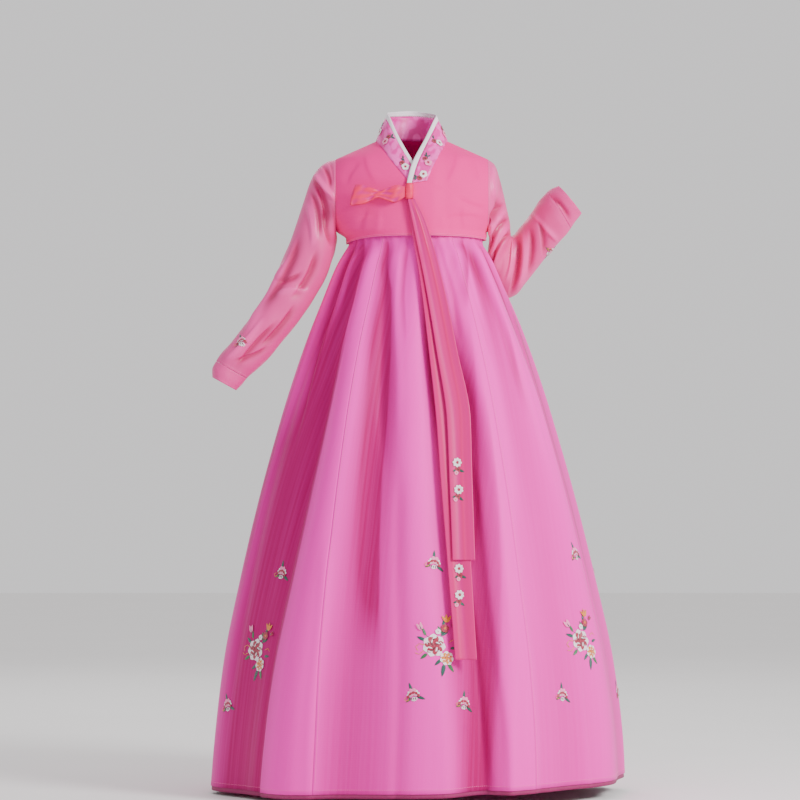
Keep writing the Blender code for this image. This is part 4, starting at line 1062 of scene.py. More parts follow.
LEFT_SLEEVE_CREASES = (
    (142, -172, 188, -100, 5, 4.5, -6.5, -1),
    (150, -184, 196, -112, 5, 4.5, 3.4, -1),
    (156, -202, 201, -128, 5, 4.5, -6.5, -1),
    (160, -214, 205, -142, 5, 4.5, 3.2, -1),
    (162, -226, 208, -156, 5, 4.5, -6.2, -1),
    (209, -164, 196, -258, 3, 5, 3.6, -1),
    (220, -168, 206, -286, 4, 6, -4.8, -1),
    (232, -160, 224, -268, 4, 7, 2.8, -1),
    (246, -150, 244, -246, 3, 6, -3.4, -1),
    (262, -124, 276, -206, 3, 6, -2.8, -1),
    (252, -116, 306, -178, -3, 5, 2.4, -1),
    (290, -84, 330, -132, 3, 5, -2.4, -1),
    (176, -30, 182, -72, 3, 5, -3.0, -1),
    (164, -20, 166, -84, -3, 6, 2.8, -1),
    (172, -90, 160, -150, 4, 6, -3.2, -1),
    (180, -40, 190, -150, 6, 8, -4.0, 1),
    (170, -120, 200, -230, -6, 8, 3.2, 1),
    (192, -150, 204, -280, 5, 7, -4.0, 1),
    (226, -160, 222, -270, 5, 7, -3.6, 1),
    (252, -130, 258, -226, 4, 7, 3.0, 1),
    (270, -104, 296, -186, 4, 6, -3.0, 1),
)
print("sleeve creases:", len(RIGHT_SLEEVE_CREASES), "right,", len(LEFT_SLEEVE_CREASES), "left")

# %% Sleeve tubes and cuffs

SLEEVE_COLUMNS, ROWS_A_RING, SATIN_THICKNESS = 150, 9, 0.9 * MM
SLEEVE_CREASE_STRENGTH, SLEEVE_RIPPLE = 1.55, 0.5 * MM
# How deep the satin's colour is on level cloth, and the crease depth that gives full painted shade.
SLEEVE_DEEP_ON_LEVEL, SLEEVE_CREASE_SHADE_DEPTH = 0.3, 5 * MM
# Creases keep off the armhole and the cuff's mouth by this many rings.
RINGS_AT_ARMHOLE, RINGS_AT_MOUTH = 1.2, 1.6


def sleeve_surface(table, creases, first, last):
    """Rows of points round the sleeve between two rings, with their centres, axes and painted crease shade
    as depth of colour.
    """
    at = np.linspace(first, last, round((last - first) * ROWS_A_RING) + 1)
    places = np.arange(len(table), dtype=float)
    data = np.array(table, dtype=float) * MM
    columns = (smooth_read(places, column, at) for column in data.T)
    crown_x, crown_z, under_x, under_z, middle_y, depth, full = columns
    zero = 0 * at
    crown, under = np.stack([crown_x, zero, crown_z], -1), np.stack([under_x, zero, under_z], -1)
    centre = ((crown + under) / 2 + np.stack([zero, middle_y, zero], -1))[:, None]
    half = np.linalg.norm(crown - under, axis=-1)[:, None, None] / 2
    long_way = unit(crown - under)[:, None]
    deep_way = np.array([0, 1.0, 0])
    turns = np.linspace(0, 2 * math.pi, SLEEVE_COLUMNS, endpoint=False)
    cos, sin = np.cos(turns)[None, :, None], np.sin(turns)[None, :, None]
    wave = np.cos(SLEEVE_FOLDS_AROUND * turns[None] + np.radians(FOLD_TURN_PER_RING * at)[:, None])
    pinched = full[:, None] + SLEEVE_FOLD_DEPTH * wave * ease(at, 0, FOLD_START_RING)[:, None]
    relief = (pinched * np.abs(np.sin(turns))[None])[..., None]
    points = centre + half * cos * long_way + depth[:, None, None] * sin * deep_way
    points = points + relief * (cos * long_way + sin * deep_way)
    normals = facing(grid_normals(points, closed=True), points, centre)
    end = len(table) - 1
    free = ease(at, 0, RINGS_AT_ARMHOLE) * (1 - ease(at, len(table) - RINGS_AT_MOUTH, end))
    moved = SLEEVE_CREASE_STRENGTH * crease_relief(points, normals, creases) * free[:, None]
    ring, turn = at[:, None], turns[None]
    ripple = SLEEVE_RIPPLE * np.sin(5 * turn + 1.9 * ring) * np.sin(0.8 * ring + 2 * turn)
    points = points + normals * (moved + ripple * free[:, None])[..., None]
    # Painted shade in the crease troughs and painted light on the ridges.
    deep = np.clip(SLEEVE_DEEP_ON_LEVEL - moved / SLEEVE_CREASE_SHADE_DEPTH, 0, 1)
    return points, centre, np.cross(long_way[:, 0], deep_way), deep


def sleeve(side, table, creases, cuff_ring):
    pieces = []
    last = len(table) - 1
    for name, first, end, nodes in (
        (f"satin_sleeve_{side}", 0, cuff_ring, [f"sleeve_{side}_upper", f"sleeve_{side}_lower"]),
        (f"satin_cuff_{side}", cuff_ring, last, [f"cuff_{side}"]),
    ):
        points, centre, axes, deep = sleeve_surface(table, creases, first, end)
        for place, inside, meets in ((0, 1, 1), (-1, -2, end == cuff_ring)):
            way = np.sign(np.dot((points[inside] - points[place]).mean(axis=0), axes[place]))
            points[place] += axes[place] * way * SEAM_GAP / 2 * meets
        piece = cloth(name, points, SATIN, SATIN_THICKNESS, centre.mean(axis=(0, 1)),
                      closed=True, deep=deep, replaces=nodes)
        pieces.append((piece, points, centre))
    return pieces


RIGHT_SLEEVE = sleeve("right", RIGHT_SLEEVE_RINGS, RIGHT_SLEEVE_CREASES, RIGHT_CUFF_RING)
LEFT_SLEEVE = sleeve("left", LEFT_SLEEVE_RINGS, LEFT_SLEEVE_CREASES, LEFT_CUFF_RING)

# %% [markdown]
# ## Chest band
#
# The skirt hangs from a firm cotton band that is wound round the chest under the jacket. Almost
# nothing of it shows, only its inner face from below.

# %% Chest band

CHEST_BAND_TOP, BAND_ROOM, BAND_THICKNESS = -88 * MM, 2.5 * MM, 1.3 * MM
BAND_ROWS, BAND_COLUMNS, INSIDE_BAND = 12, 144, np.array([0, 0, -0.12])


def chest_band():
    heights = np.linspace(SKIRT_TOP + SEAM_GAP, CHEST_BAND_TOP, BAND_ROWS)
    turns = np.linspace(0, 2 * math.pi, BAND_COLUMNS, endpoint=False)
    rows = []
    for z in heights:
        middle, half_width, front, _ = skirt_level(z)
        room = along(TORSO_LEVELS, 3, z) - BAND_ROOM
        depth = np.where(np.cos(turns) > 0, front, room)
        x, y = middle + half_width * np.sin(turns), -depth * np.cos(turns)
        rows.append(np.stack([x, y, 0 * turns + z], axis=-1))
    cloth("cotton_chest_band", np.array(rows), BAND_COTTON, BAND_THICKNESS, INSIDE_BAND,
          closed=True, replaces=["skirt_chest_band"])


chest_band()

# %% [markdown]
# ## Ribbon tie
#
# The goreum is a pair of long ribbons, sewn to the left front and the right front. They are tied with
# one loop to the wearer's right and two tails that hang down the skirt. The ribbon is folded
# lengthwise at the knot, so its creases fan out of the knot and run on down the tails.

# %% Ribbon tables and surfaces

FRONT_TAIL = (
    # height, right_edge_x, left_edge_x
    (-96.4, -18, -3),
    (-150, -7, 22),
    (-269, 17, 55),
    (-420, 42, 86),
    (-563, 63, 113),
    (-690, 68, 116),
    (-856, 74, 121),
)
REAR_TAIL = (
    (-97, -20, -6),
    (-150, -12, 14),
    (-269, 8, 44),
    (-420, 26, 74),
    (-563, 41, 93),
    (-690, 50, 102),
    (-856, 63, 112),
    (-1060, 79, 124),
)
TAIL_LIFT_FRONT, TAIL_LIFT_REAR, TAIL_CREST_ROOM = 7.5 * MM, 3.5 * MM, 12 * MM
TAIL_CURL, TAIL_CURL_START, TAIL_CURL_FULL = 1.6 * MM, -150 * MM, -400 * MM
TAIL_JACKET_END, TAIL_SKIRT_START = -165 * MM, -235 * MM
TAIL_PLEATS_START, TAIL_PLEATS_FADE, TAIL_PLEATS_LOST = (0.1, 0.13), (0.12, 0.5), 0.55
TAIL_WANDER, BEHIND_THE_TAILS = 7, np.array([0, 2, -0.5])
TAIL_ROWS, TAIL_COLUMNS, RIBBON_THICKNESS, WRAP_THICKNESS = 220, 25, 0.7 * MM, 0.6 * MM
KNOT_X, KNOT_Z = -15 * MM, -79 * MM
KNOT_HALF_WIDTH, KNOT_HALF_HEIGHT, KNOT_DEPTH = 9 * MM, 17 * MM, 15 * MM
KNOT_ROWS, KNOT_COLUMNS = 40, 72
KNOT_SINK, KNOT_LEAN = 1.35 * MM, 1 * MM
# Share of the half height, and the knot's girth there as a share of its full one.
KNOT_LEVELS = np.array(((-1.0, 0.62), (-0.72, 0.92), (-0.25, 1.0), (0.25, 1.0), (0.72, 0.9), (1.0, 0.6)))
KNOT_TURNED_IN = (((-0.9, 0.38), (-0.97, 0.5)), ((0.97, 0.48), (0.9, 0.36)))
LOOP_SECTIONS = (
    # distance from the knot, top_z, bottom_z, half_opening
    (0, -70, -92, 3.5),
    (20, -67, -102, 6.0),
    (40, -72, -97, 4.5),
    (56, -79, -94, 3.2),
    (76, -73, -101, 5.5),
    (98, -67, -108, 7.0),
    (112, -66, -110, 4.0),
)
LOOP_COLUMNS, LOOP_ROWS_ONE_WAY, LOOP_ROWS_IN_TURN = 21, 70, 16
LOOP_PLEAT, LOOP_PLEATS, LOOP_REAR_LOWER = 1.1, 2.6, 1 * MM
LOOP_WAVE, LOOP_WAVE_LENGTH, LOOP_FLAT_WITHIN = 1.2 * MM, 8.5 * MM, 4 * MM
LOOP_CRUMPLES = (
    # height in mm, length of the wave in mm, how much it leans across the ribbon, where it starts
    (0.9, 4.6, 3.5, 0.4),
    (0.7, 7.4, -4.5, 1.9),
    (0.5, 2.9, 6.0, 4.1),
)


def front_surface_y(x, z):
    """How far forward cloth must hang to pass in front of the jacket and then the skirt's crests."""
    level_z = np.maximum(z, TAIL_JACKET_END)
    jacket = torso_point(torso_angle(x, level_z, -1), level_z, -1, True)[..., 1]
    middle, half_width, front, _ = skirt_level(np.minimum(z, SKIRT_TOP))
    angle = np.arcsin(np.clip((x - middle) / half_width, -1, 1))
    skirt = -front * np.cos(angle) - TAIL_CREST_ROOM
    return jacket + (np.minimum(skirt, jacket) - jacket) * ease(-z, -TAIL_JACKET_END, -TAIL_SKIRT_START)


def tail(name, node, table, lift, ridges):
    z = np.linspace(table[0][0], table[-1][0], TAIL_ROWS) * MM
    right, left = along(table, 1, z), along(table, 2, z)
    share = np.linspace(0, 1, TAIL_COLUMNS)[None]
    x = right[:, None] + (left - right)[:, None] * share
    edges = (along(REAR_TAIL, 1, z), along(FRONT_TAIL, 2, z))
    reach = np.maximum(*(-front_surface_y(edge, z) for edge in edges))
    curl = TAIL_CURL * np.cos(2 * math.pi * share) * ease(-z, -TAIL_CURL_START, -TAIL_CURL_FULL)[:, None]
    near_knot = 1 - TAIL_PLEATS_LOST * ease(-z, *TAIL_PLEATS_FADE)
    pleats = np.zeros_like(x)
    for place, slip, width, depth in ridges:
        at = (place + slip * np.sin(-z * TAIL_WANDER + place * 9))[:, None]
        pleats += depth * MM * near_knot[:, None] * np.exp(-(((share - at) / width) ** 2))
    y = -(reach + lift)[:, None] - curl - pleats * ease(-z, *TAIL_PLEATS_START)[:, None]
    points = np.stack([x, y, np.broadcast_to(z[:, None], x.shape)], axis=-1)
    # Painted shade in the pleat troughs and painted light on the ridges.
    return cloth(name, points, RIBBON, RIBBON_THICKNESS, BEHIND_THE_TAILS,
                 deep=np.clip(0.8 - 0.3 * pleats / MM, 0, 1), replaces=[node])


def knot_middle_y():
    return float(front_surface_y(np.array(KNOT_X), np.array(KNOT_Z))) + KNOT_SINK - KNOT_DEPTH / 2


def knot():
    """Ribbon wound once round the tie: a short barrel whose folds run in along its ends."""
    turns = np.linspace(0, 2 * math.pi, KNOT_COLUMNS, endpoint=False)
    levels = np.linspace(-1, 1, KNOT_ROWS)
    sizes = smooth_read(*KNOT_LEVELS.T, levels)
    rows = []
    for height, size in (*KNOT_TURNED_IN[0], *zip(levels, sizes), *KNOT_TURNED_IN[1]):
        fold = 1 - 0.045 * (1 + np.cos(4 * turns + 3.2 * height + 1.0)) * (0.4 + 0.6 * height**2)
        fold = fold - 0.05 * np.exp(-(((height - 0.25 * np.sin(turns)) / 0.12) ** 2))
        x = KNOT_X + KNOT_HALF_WIDTH * size * fold * np.cos(turns) + height * KNOT_LEAN
        y = knot_middle_y() + KNOT_DEPTH / 2 * size * fold * np.sin(turns)
        rows.append(np.stack([x, y, 0 * turns + KNOT_Z + height * KNOT_HALF_HEIGHT], axis=-1))
    cloth("ribbon_wound_knot", np.array(rows), RIBBON, WRAP_THICKNESS,
          np.array([KNOT_X, knot_middle_y(), KNOT_Z]), closed=True, replaces=["ribbon_knot"])


def loop():
    """The bow's one loop runs out to the wearer's right, turns back and returns behind itself."""
    table = np.array(LOOP_SECTIONS, dtype=float) * MM
    round_share = math.sqrt(1 - (table[0][3] / (KNOT_DEPTH / 2)) ** 2)
    start = KNOT_X - KNOT_HALF_WIDTH * round_share - KNOT_LEAN - SEAM_GAP
    seat = knot_middle_y()
    at = np.linspace(table[0][0], table[-1][0], LOOP_ROWS_ONE_WAY)
    top, low, gap = (smooth_read(table[:, 0], table[:, i], at) for i in (1, 2, 3))
    angle = np.linspace(0, math.pi, LOOP_ROWS_IN_TURN)[1:-1]
    distance = np.concatenate([at, at[-1] + gap[-1] * np.sin(angle), at[::-1]])[:, None]
    y = np.concatenate([seat - gap, seat - gap[-1] * np.cos(angle), (seat + gap)[::-1]])[:, None]
    top, low = (
        np.concatenate([edge, 0 * angle + edge[-1], edge[::-1] - LOOP_REAR_LOWER])[:, None]
        for edge in (top, low)
    )
    share = np.linspace(0, 1, LOOP_COLUMNS)[None]
    fan = ease(distance, 0, 0.03) * (1 - 0.6 * ease(distance, 0.06, 0.112))
    pleat = np.cos(2 * math.pi * (LOOP_PLEATS * share + 0.15 * np.sin(distance * 60))) * fan
    side = np.where(np.arange(len(distance)) < len(at), 0.0, 2.0)[:, None]
    crumple = sum(
        size * np.sin(distance / MM / length + lean * share + phase + side)
        for size, length, lean, phase in LOOP_CRUMPLES
    )
    room = np.clip(np.abs(y - seat) / LOOP_FLAT_WITHIN, 0, 1)
    relief = (LOOP_PLEAT * pleat + crumple * fan) * room
    grid_y = y + np.where(y < seat, -1, 1) * relief * MM
    x = start - distance * (1 - 0.1 * share**2) + 0 * grid_y
    z = low + (top - low) * share + LOOP_WAVE * np.sin(distance / LOOP_WAVE_LENGTH + 1.0) * fan
    # Painted shade where the loop's crumples sink and painted light where they stand out.
    cloth("ribbon_bow_loop", np.stack([x, grid_y, z], axis=-1), RIBBON, WRAP_THICKNESS,
          np.array([start - 0.06, seat, KNOT_Z]), deep=np.clip(0.25 - 0.5 * relief, 0, 1),
          replaces=["ribbon_loop"])


# %% Knot, loop and tails

REAR_RIDGES = (
    # place across the ribbon, how far it wanders, width, height in mm
    (0.2, 0.03, 0.06, 1.1),
    (0.55, 0.05, 0.1, -1.2),
)
FRONT_RIDGES = ((0.3, 0.05, 0.1, -1.2), (0.58, 0.04, 0.05, 1.2), (0.86, 0.02, 0.08, -0.7))
knot()
loop()
TAIL_REAR = tail("ribbon_rear_tail", "ribbon_tail_rear", REAR_TAIL, TAIL_LIFT_REAR, REAR_RIDGES)
TAIL_FRONT = tail("ribbon_front_tail", "ribbon_tail_front", FRONT_TAIL, TAIL_LIFT_FRONT, FRONT_RIDGES)

# %% [markdown]
# ## Where the photo's view meets the cloth
#
# Seams, stitches and embroidery lie on cloth that is already folded. Each is drawn flat first, in
# millimetres, and is then pressed on to the cloth along one direction, the way a print on a folded
# cloth looks shorter in a fold. The camera stands eight metres in front of the garment, so a place
# seen in the photo is found by a straight line from there.

# %% Pressing flat shapes on to the cloth

EYE = Vector((-0.0344, -8.0, -0.65))
TREES = {}


def surface_of(pieces):
    names = tuple(p.name for p in pieces)
    if names not in TREES:
        points, faces = [], []
        for piece in pieces:
            first = len(points)
            points += [v.co.copy() for v in piece.data.vertices]
            faces += [[first + i for i in f.vertices] for f in piece.data.polygons]
        TREES[names] = BVHTree.FromPolygons(points, faces)
    return TREES[names]


def seen_at(pieces, x, z):
    """The point of the cloth that the camera sees at x, z on the plane of the shoulder line."""
    way = (Vector((x * MM, 0, z * MM)) - EYE).normalized()
    place, normal, _, _ = surface_of(pieces).ray_cast(EYE, way)
    return place, normal


PRESSED_FROM, PRESSED_THROUGH = 60 * MM, 140 * MM


def press(tree, anchor, frame_axes, x, y, height):
    """A flat point x, y of a drawing, pressed on to the cloth; None where there is no cloth."""
    right, up, out = frame_axes
    start = anchor + right * x + up * y + out * PRESSED_FROM
    place, normal, _, _ = tree.ray_cast(start, -out, PRESSED_THROUGH)
    if place is None:
        return None
    return place + (normal if normal.dot(out) >= 0 else -normal) * height


# %% [markdown]
# ## Embroidery thread
#
# The flowers are machine embroidered in rayon thread: satin stitch, so the threads of a petal lie side
# by side and catch the light together. A petal is a low domed pad of thread. The threads are 0.4 mm
# in the real thing and 0.9 mm here.

# %% Threads and petals

RAYON_SPACING = 0.9 * MM


def rayon_thread(name, hex_value, groove_shade_hex):
    material, tree, shader = new_material(f"rayon_thread_{name}")
    uv = add_node(tree, "ShaderNodeUVMap", uv_map="cloth")
    rows = bands(tree, uv, "X", (1 / RAYON_SPACING, 40, 1))
    # Darker between the thread rows: painted shade in the grooves.
    base = mix_colours(tree, rows, colour(groove_shade_hex), colour(hex_value))
    finish_cloth(tree, shader, base, rows, 0.5, 0.4 * MM, Roughness=0.38, Sheen_Weight=0.3)
    return material


# Each thread's second colour is a darker copy of it, painted shade for the grooves between threads.
THREADS = {
    kind: rayon_thread(name, light, dark)
    for kind, name, light, dark in (
        ("white", "white", "#FBF1F6", "#E7D3DF"), ("pale", "pale_pink", "#FF94C4", "#F868AC"),
        ("crimson", "crimson", "#B80040", "#86002C"), ("maroon", "maroon", "#640A24", "#460616"),
        ("amber", "amber", "#F0901C", "#C86A0C"), ("green", "teal_green", "#0E5A4C", "#083C32"),
        ("leaf", "leaf_green", "#2E7A44", "#1C5228"),
    )
}
THREAD_NAMES = list(THREADS)
PETAL_ROWS, PETAL_COLUMNS, PETAL_LEAST_WIDTH, PETAL_ROUNDNESS = 9, 5, 0.04, 0.65
PETAL_LIFT, PETAL_EDGE, MOST_LAYERED = 0.5 * MM, 0.35 * MM, 2.4 * MM


def petal(x, y, heading, length, width, thread, tip=0.7):
    """A petal or leaf: its foot, the way it points (0 is up), its size in mm and where it is widest."""
    return x, y, heading, length, width, thread, tip


def flower(x, y, size, count, outer, heart, turn=0.0):
    rim = [(x, y, turn + 360 * i / count, size * 0.5, size * 2.5 / count, outer, 1.5) for i in range(count)]
    return rim + [(x, y, turn + 51 + 72 * i, size * 0.2, size * 0.16, heart, 1.2) for i in range(5)]


def stem(points, thread, width=1.5):
    """A line of satin stitch through a few places."""
    shapes = []
    for (x0, y0), (x1, y1) in zip(points[:-1], points[1:]):
        heading = math.degrees(math.atan2(x1 - x0, y1 - y0))
        shapes.append(petal(x0, y0, heading, math.hypot(x1 - x0, y1 - y0) * 1.12, width, thread, 1.0))
    return shapes


def petal_points(shape, height):
    """Places on the drawing, their height above the cloth and their own UV, row by row."""
    x, y, heading, length, width, _, tip = shape
    sin, cos = math.sin(math.radians(heading)), math.cos(math.radians(heading))
    for r in range(PETAL_ROWS):
        share = r / (PETAL_ROWS - 1)
        half = width / 2 * max(math.sin(math.pi * share**tip), PETAL_LEAST_WIDTH) ** PETAL_ROUNDNESS
        for c in range(PETAL_COLUMNS):
            side = 2 * c / (PETAL_COLUMNS - 1) - 1
            dome = PETAL_LIFT * (1 - side**2) * math.sin(math.pi * share) ** 0.5 * min(1, width / 4)
            along, across = length * share, half * side
            place = (x + along * sin + across * cos, y + along * cos - across * sin)
            yield place, height + dome, (across * MM, along * MM)


def stitch_on(name, pieces, base, drawing, frame_axes, scale=1.0, turn=0.0):
    """Presses a drawing on to the cloth at base and makes one piece of it."""
    tree = surface_of(pieces)
    cos, sin = (scale * MM * part(math.radians(turn)) for part in (math.cos, math.sin))
    points, faces, uvs, kinds = [], [], [], []
    for layer, shape in enumerate(drawing):
        grid = [
            (press(tree, base, frame_axes, x * cos - y * sin, x * sin + y * cos, height), uv)
            for (x, y), height, uv in petal_points(shape, PETAL_EDGE + MOST_LAYERED * layer / len(drawing))
        ]
        if any(place is None for place, _ in grid):
            continue
        first = len(points)
        points += [place for place, _ in grid]
        for r in range(PETAL_ROWS - 1):
            for c in range(PETAL_COLUMNS - 1):
                a = r * PETAL_COLUMNS + c
                ring = (a, a + PETAL_COLUMNS, a + PETAL_COLUMNS + 1, a + 1)
                faces.append([first + i for i in ring])
                uvs += [grid[i][1] for i in ring]
                kinds.append(THREAD_NAMES.index(shape[5]))
    if not faces:
        print("no cloth for", name)
        return
    used = sorted(set(kinds))
    piece = new_piece(name, points, faces, [THREADS[THREAD_NAMES[kind]] for kind in used])
    give_uv(piece, uvs)
    piece.data.polygons.foreach_set("material_index", [used.index(k) for k in kinds])


print("threads:", ", ".join(THREAD_NAMES))

# %% [markdown]
# ## Drawings of the flowers
#
# Two drawings repeat all over the skirt: a small blossom sprig with a crimson arc and three leaves,
# and a large bouquet with a crimson rose in the middle. Ribbon and sleeves carry one small sprig each.

# %% Flower drawings


def petals(rows):
    """Petals from rows of x, y, heading, length, width, thread and, if need be, tip."""
    return [petal(*row) for row in rows]


def blossom_sprig():
    shapes = petals(((-2, 7, -8, 18, 6, "green"), (7, -6, 118, 18, 6.5, "green")))
    shapes += [petal(-6, -7, 238, 13, 5, "leaf")]
    shapes += [petal(0, -3, heading, 14, 8, "white", 1.5) for heading in (-76, -46, 46, 76)]
    shapes += [petal(0, -3, heading, 16, 9.5, "pale", 1.5) for heading in (-18, 16)]
    shapes += [petal(0, -6, heading, 9, 5, "white", 1.4) for heading in (128, 156, 184, 212)]
    shapes += stem([(-13, -7), (-9, -1), (-3, 3), (4, 3), (9, -1), (12, -7)], "crimson", 5.6)
    shapes += [petal(x, -7, 180, 6, 2.0, "maroon") for x in (-4, 0, 4)]
    shapes += stem([(-6, -4), (0, -1), (6, -4)], "pale", 2.6)
    return shapes + stem([(-9, -9), (-15, -12), (-19, -8), (-15, -4)], "amber", 1.4)


def rose(x, y, size, outer="white", inner="crimson", deep="maroon"):
    """Broad petals in rings, each ring smaller than the one under it, and a curl in the middle."""
    shapes = [petal(x, y, 51 * i, size * 0.5, size * 0.38, outer, 1.6) for i in range(7)]
    shapes += [petal(x, y, 25 + 51 * i, size * 0.41, size * 0.4, inner, 1.6) for i in range(7)]
    for ring, count, thread in ((0.29, 5, outer), (0.22, 5, deep), (0.15, 4, outer), (0.07, 3, deep)):
        for i in range(count):
            lean = math.radians(360 * i / count + 200 * ring)
            foot_x, foot_y = x + size * ring * math.sin(lean), y + size * ring * math.cos(lean)
            heading = math.degrees(lean) + 84
            shapes.append(petal(foot_x, foot_y, heading, size * 0.22, size * 0.07, thread, 1.0))
    return shapes


def bud(x, y, heading, size, thread):
    sides = [petal(x, y, heading + lean, size, size * 0.45, thread) for lean in (-16, 16)]
    return sides + [petal(x, y, heading, size * 0.62, size * 0.34, "green", 0.9)]


def bouquet():
    shapes = stem([(10, -30), (2, -12), (10, 18), (22, 42)], "green", 2.0)
    shapes += stem([(-4, 4), (-20, 22), (-29, 36)], "leaf", 1.6)
    shapes += petals((
        (12, -40, 196, 26, 9, "green"), (20, -38, 150, 22, 8, "leaf"), (6, -30, 232, 18, 7, "green"),
        (-24, 12, 300, 18, 7, "green"), (-22, 22, 344, 17, 6, "leaf"), (10, 20, 66, 18, 7, "green"),
        (12, 24, 336, 17, 6, "leaf"), (28, -8, 84, 16, 6, "green"), (-22, -16, 236, 17, 7, "leaf"),
        (16, 40, 20, 15, 6, "green"),
    ))
    shapes += stem([(-24, 2), (-36, 6), (-44, 0), (-40, -8)], "amber", 1.4)
    shapes += stem([(-26, -8), (-38, -16), (-46, -12)], "amber", 1.4)
    shapes += stem([(24, 4), (36, 10), (42, 4)], "amber", 1.4)
    shapes += rose(-6, 0, 48) + rose(18, -28, 30, "white", "amber", "crimson")
    shapes += flower(19, 34, 18, 5, "crimson", "amber", 20)
    shapes += [petal(24, 46, heading, 17, 6, "amber") for heading in (-34, 0, 36)]
    shapes += flower(4, 28, 12, 5, "white", "crimson")
    return shapes + bud(-29, 34, -20, 16, "pale") + bud(34, 38, 58, 11, "crimson")


def ribbon_sprig():
    shapes = stem([(2, -18), (0, -4)], "green")
    shapes += petals(((3, -10, 120, 12, 5.5, "green"), (-2, -9, 248, 9, 4.5, "green")))
    shapes += flower(1, -9, 12, 5, "crimson", "maroon") + flower(-3, -16, 9, 4, "pale", "amber")
    return shapes + flower(1, 5, 20, 8, "white", "crimson", 10)


def collar_sprig(thread):
    shapes = stem([(1, 4), (4, 12), (2, 19)], "green", 1.4)
    shapes += petals(((3, 11, 66, 9, 4, "green"), (3, 11, -40, 9, 4, "green"), (2, 16, 14, 8, 3.6, "green")))
    shapes += flower(-3, 6, 12, 5, "crimson", "maroon", 30)
    return shapes + flower(1, -5, 17, 5, thread, "crimson", 14)


SPRIG, BOUQUET, RIBBON_SPRIG = blossom_sprig(), bouquet(), ribbon_sprig()
print("petals in a bouquet:", len(BOUQUET), "in a sprig:", len(SPRIG))

# %% Flowers on the skirt

GORES = [CLOTH[organza_name(node)] for node, _, _ in SKIRT_PANELS]
UP = Vector((0, 0, 1))
SKIRT_LEANS_BACK = 0.12
# Places in front as the photo shows them: x and z on the plane of the shoulder line, in mm, and turn.
FRONT_SPRIGS = (
    (-288, -890, -8), (-404, -1174, 14), (39, -869, -12), (-6, -1152, 10), (103, -1170, -14), (342, -849, 6),
    (314, -1152, -10), (432, -1144, 12),
)
FRONT_BOUQUETS = ((-340, -1058, -6), (45, -1047, 4), (357, -1036, 8))
# On the hidden sides the same flowers go on at the same spacing, as angle, z and turn.
HIDDEN_SPRIGS = (
    (100, -880, 8), (113, -1160, -9), (128, -870, 12), (146, -1150, 6), (162, -1185, -12), (172, -880, -7),
    (192, -1160, 10), (208, -870, -10), (224, -1170, 8), (238, -900, 12), (250, -1165, -8), (262, -880, 7),
)
HIDDEN_BOUQUETS = ((112, -1040, -5), (145, -1050, 7), (180, -1040, -8), (214, -1050, 5), (246, -1045, -6))


def frame_round(normal):
    """The directions right, up and out of a drawing that is held against the cloth."""
    right = UP.cross(normal).normalized()
    return right, normal.cross(right), normal


def put_on_skirt(name, drawing, base, turn):
    middle, half_width, front, back = skirt_level(np.array(base.z))
    depth = front if base.y < 0 else back
    angle = math.atan2((base.x - middle) / half_width, -base.y / depth)
    out = Vector((math.sin(angle) / half_width, -math.cos(angle) / depth, 0)).normalized()
    out = Vector((out.x, out.y, SKIRT_LEANS_BACK)).normalized()
    stitch_on(name, GORES, base, drawing, frame_round(out), turn=turn)


for label, drawing, places in (("sprig", SPRIG, FRONT_SPRIGS), ("bouquet", BOUQUET, FRONT_BOUQUETS)):
    for i, (x, z, turn) in enumerate(places):
        put_on_skirt(f"embroidered_{label}_front_{i + 1}", drawing, seen_at(GORES, x, z)[0], turn)
for label, drawing, places in (("sprig", SPRIG, HIDDEN_SPRIGS), ("bouquet", BOUQUET, HIDDEN_BOUQUETS)):
    for i, (degrees, z, turn) in enumerate(places):
        point, _ = skirt_surface(np.array([float(degrees)]), np.array([z * MM]))
        put_on_skirt(f"embroidered_{label}_back_{i + 1}", drawing, Vector(point[0].tolist()), turn)

# %% Flowers on ribbon, sleeves and collar

SMALL_PLACES = (
    # name, cloth, drawing, x, z, scale, turn
    ("ribbon_sprig_1", TAIL_FRONT, RIBBON_SPRIG, 88, -660, 1.0, 6),
    ("ribbon_sprig_2", TAIL_FRONT, RIBBON_SPRIG, 90, -718, 1.0, -8),
    ("ribbon_sprig_3", TAIL_REAR, RIBBON_SPRIG, 92, -888, 1.0, 8),
    ("ribbon_sprig_4", TAIL_REAR, RIBBON_SPRIG, 92, -944, 1.0, -6),
    ("sleeve_sprig_right", RIGHT_SLEEVE[0][0], SPRIG, -376, -393, 0.85, 30),
    ("sleeve_sprig_left", LEFT_SLEEVE[0][0], SPRIG, 290, -200, 0.85, -40),
)
COLLAR_FLOWERS = (1.4, 2.6, 3.5, 4.6, 5.6, 6.6, 7.5, 8.5, 9.4, 10.5, 11.5)
for name, piece, drawing, x, z, scale, turn in SMALL_PLACES:
    base, normal = seen_at([piece], x, z)
    out = Vector((0, -1, 0)) if drawing is RIBBON_SPRIG else (normal if normal.y < 0 else -normal)
    stitch_on(f"embroidered_{name}", [piece], base, drawing, frame_round(out), scale, turn)
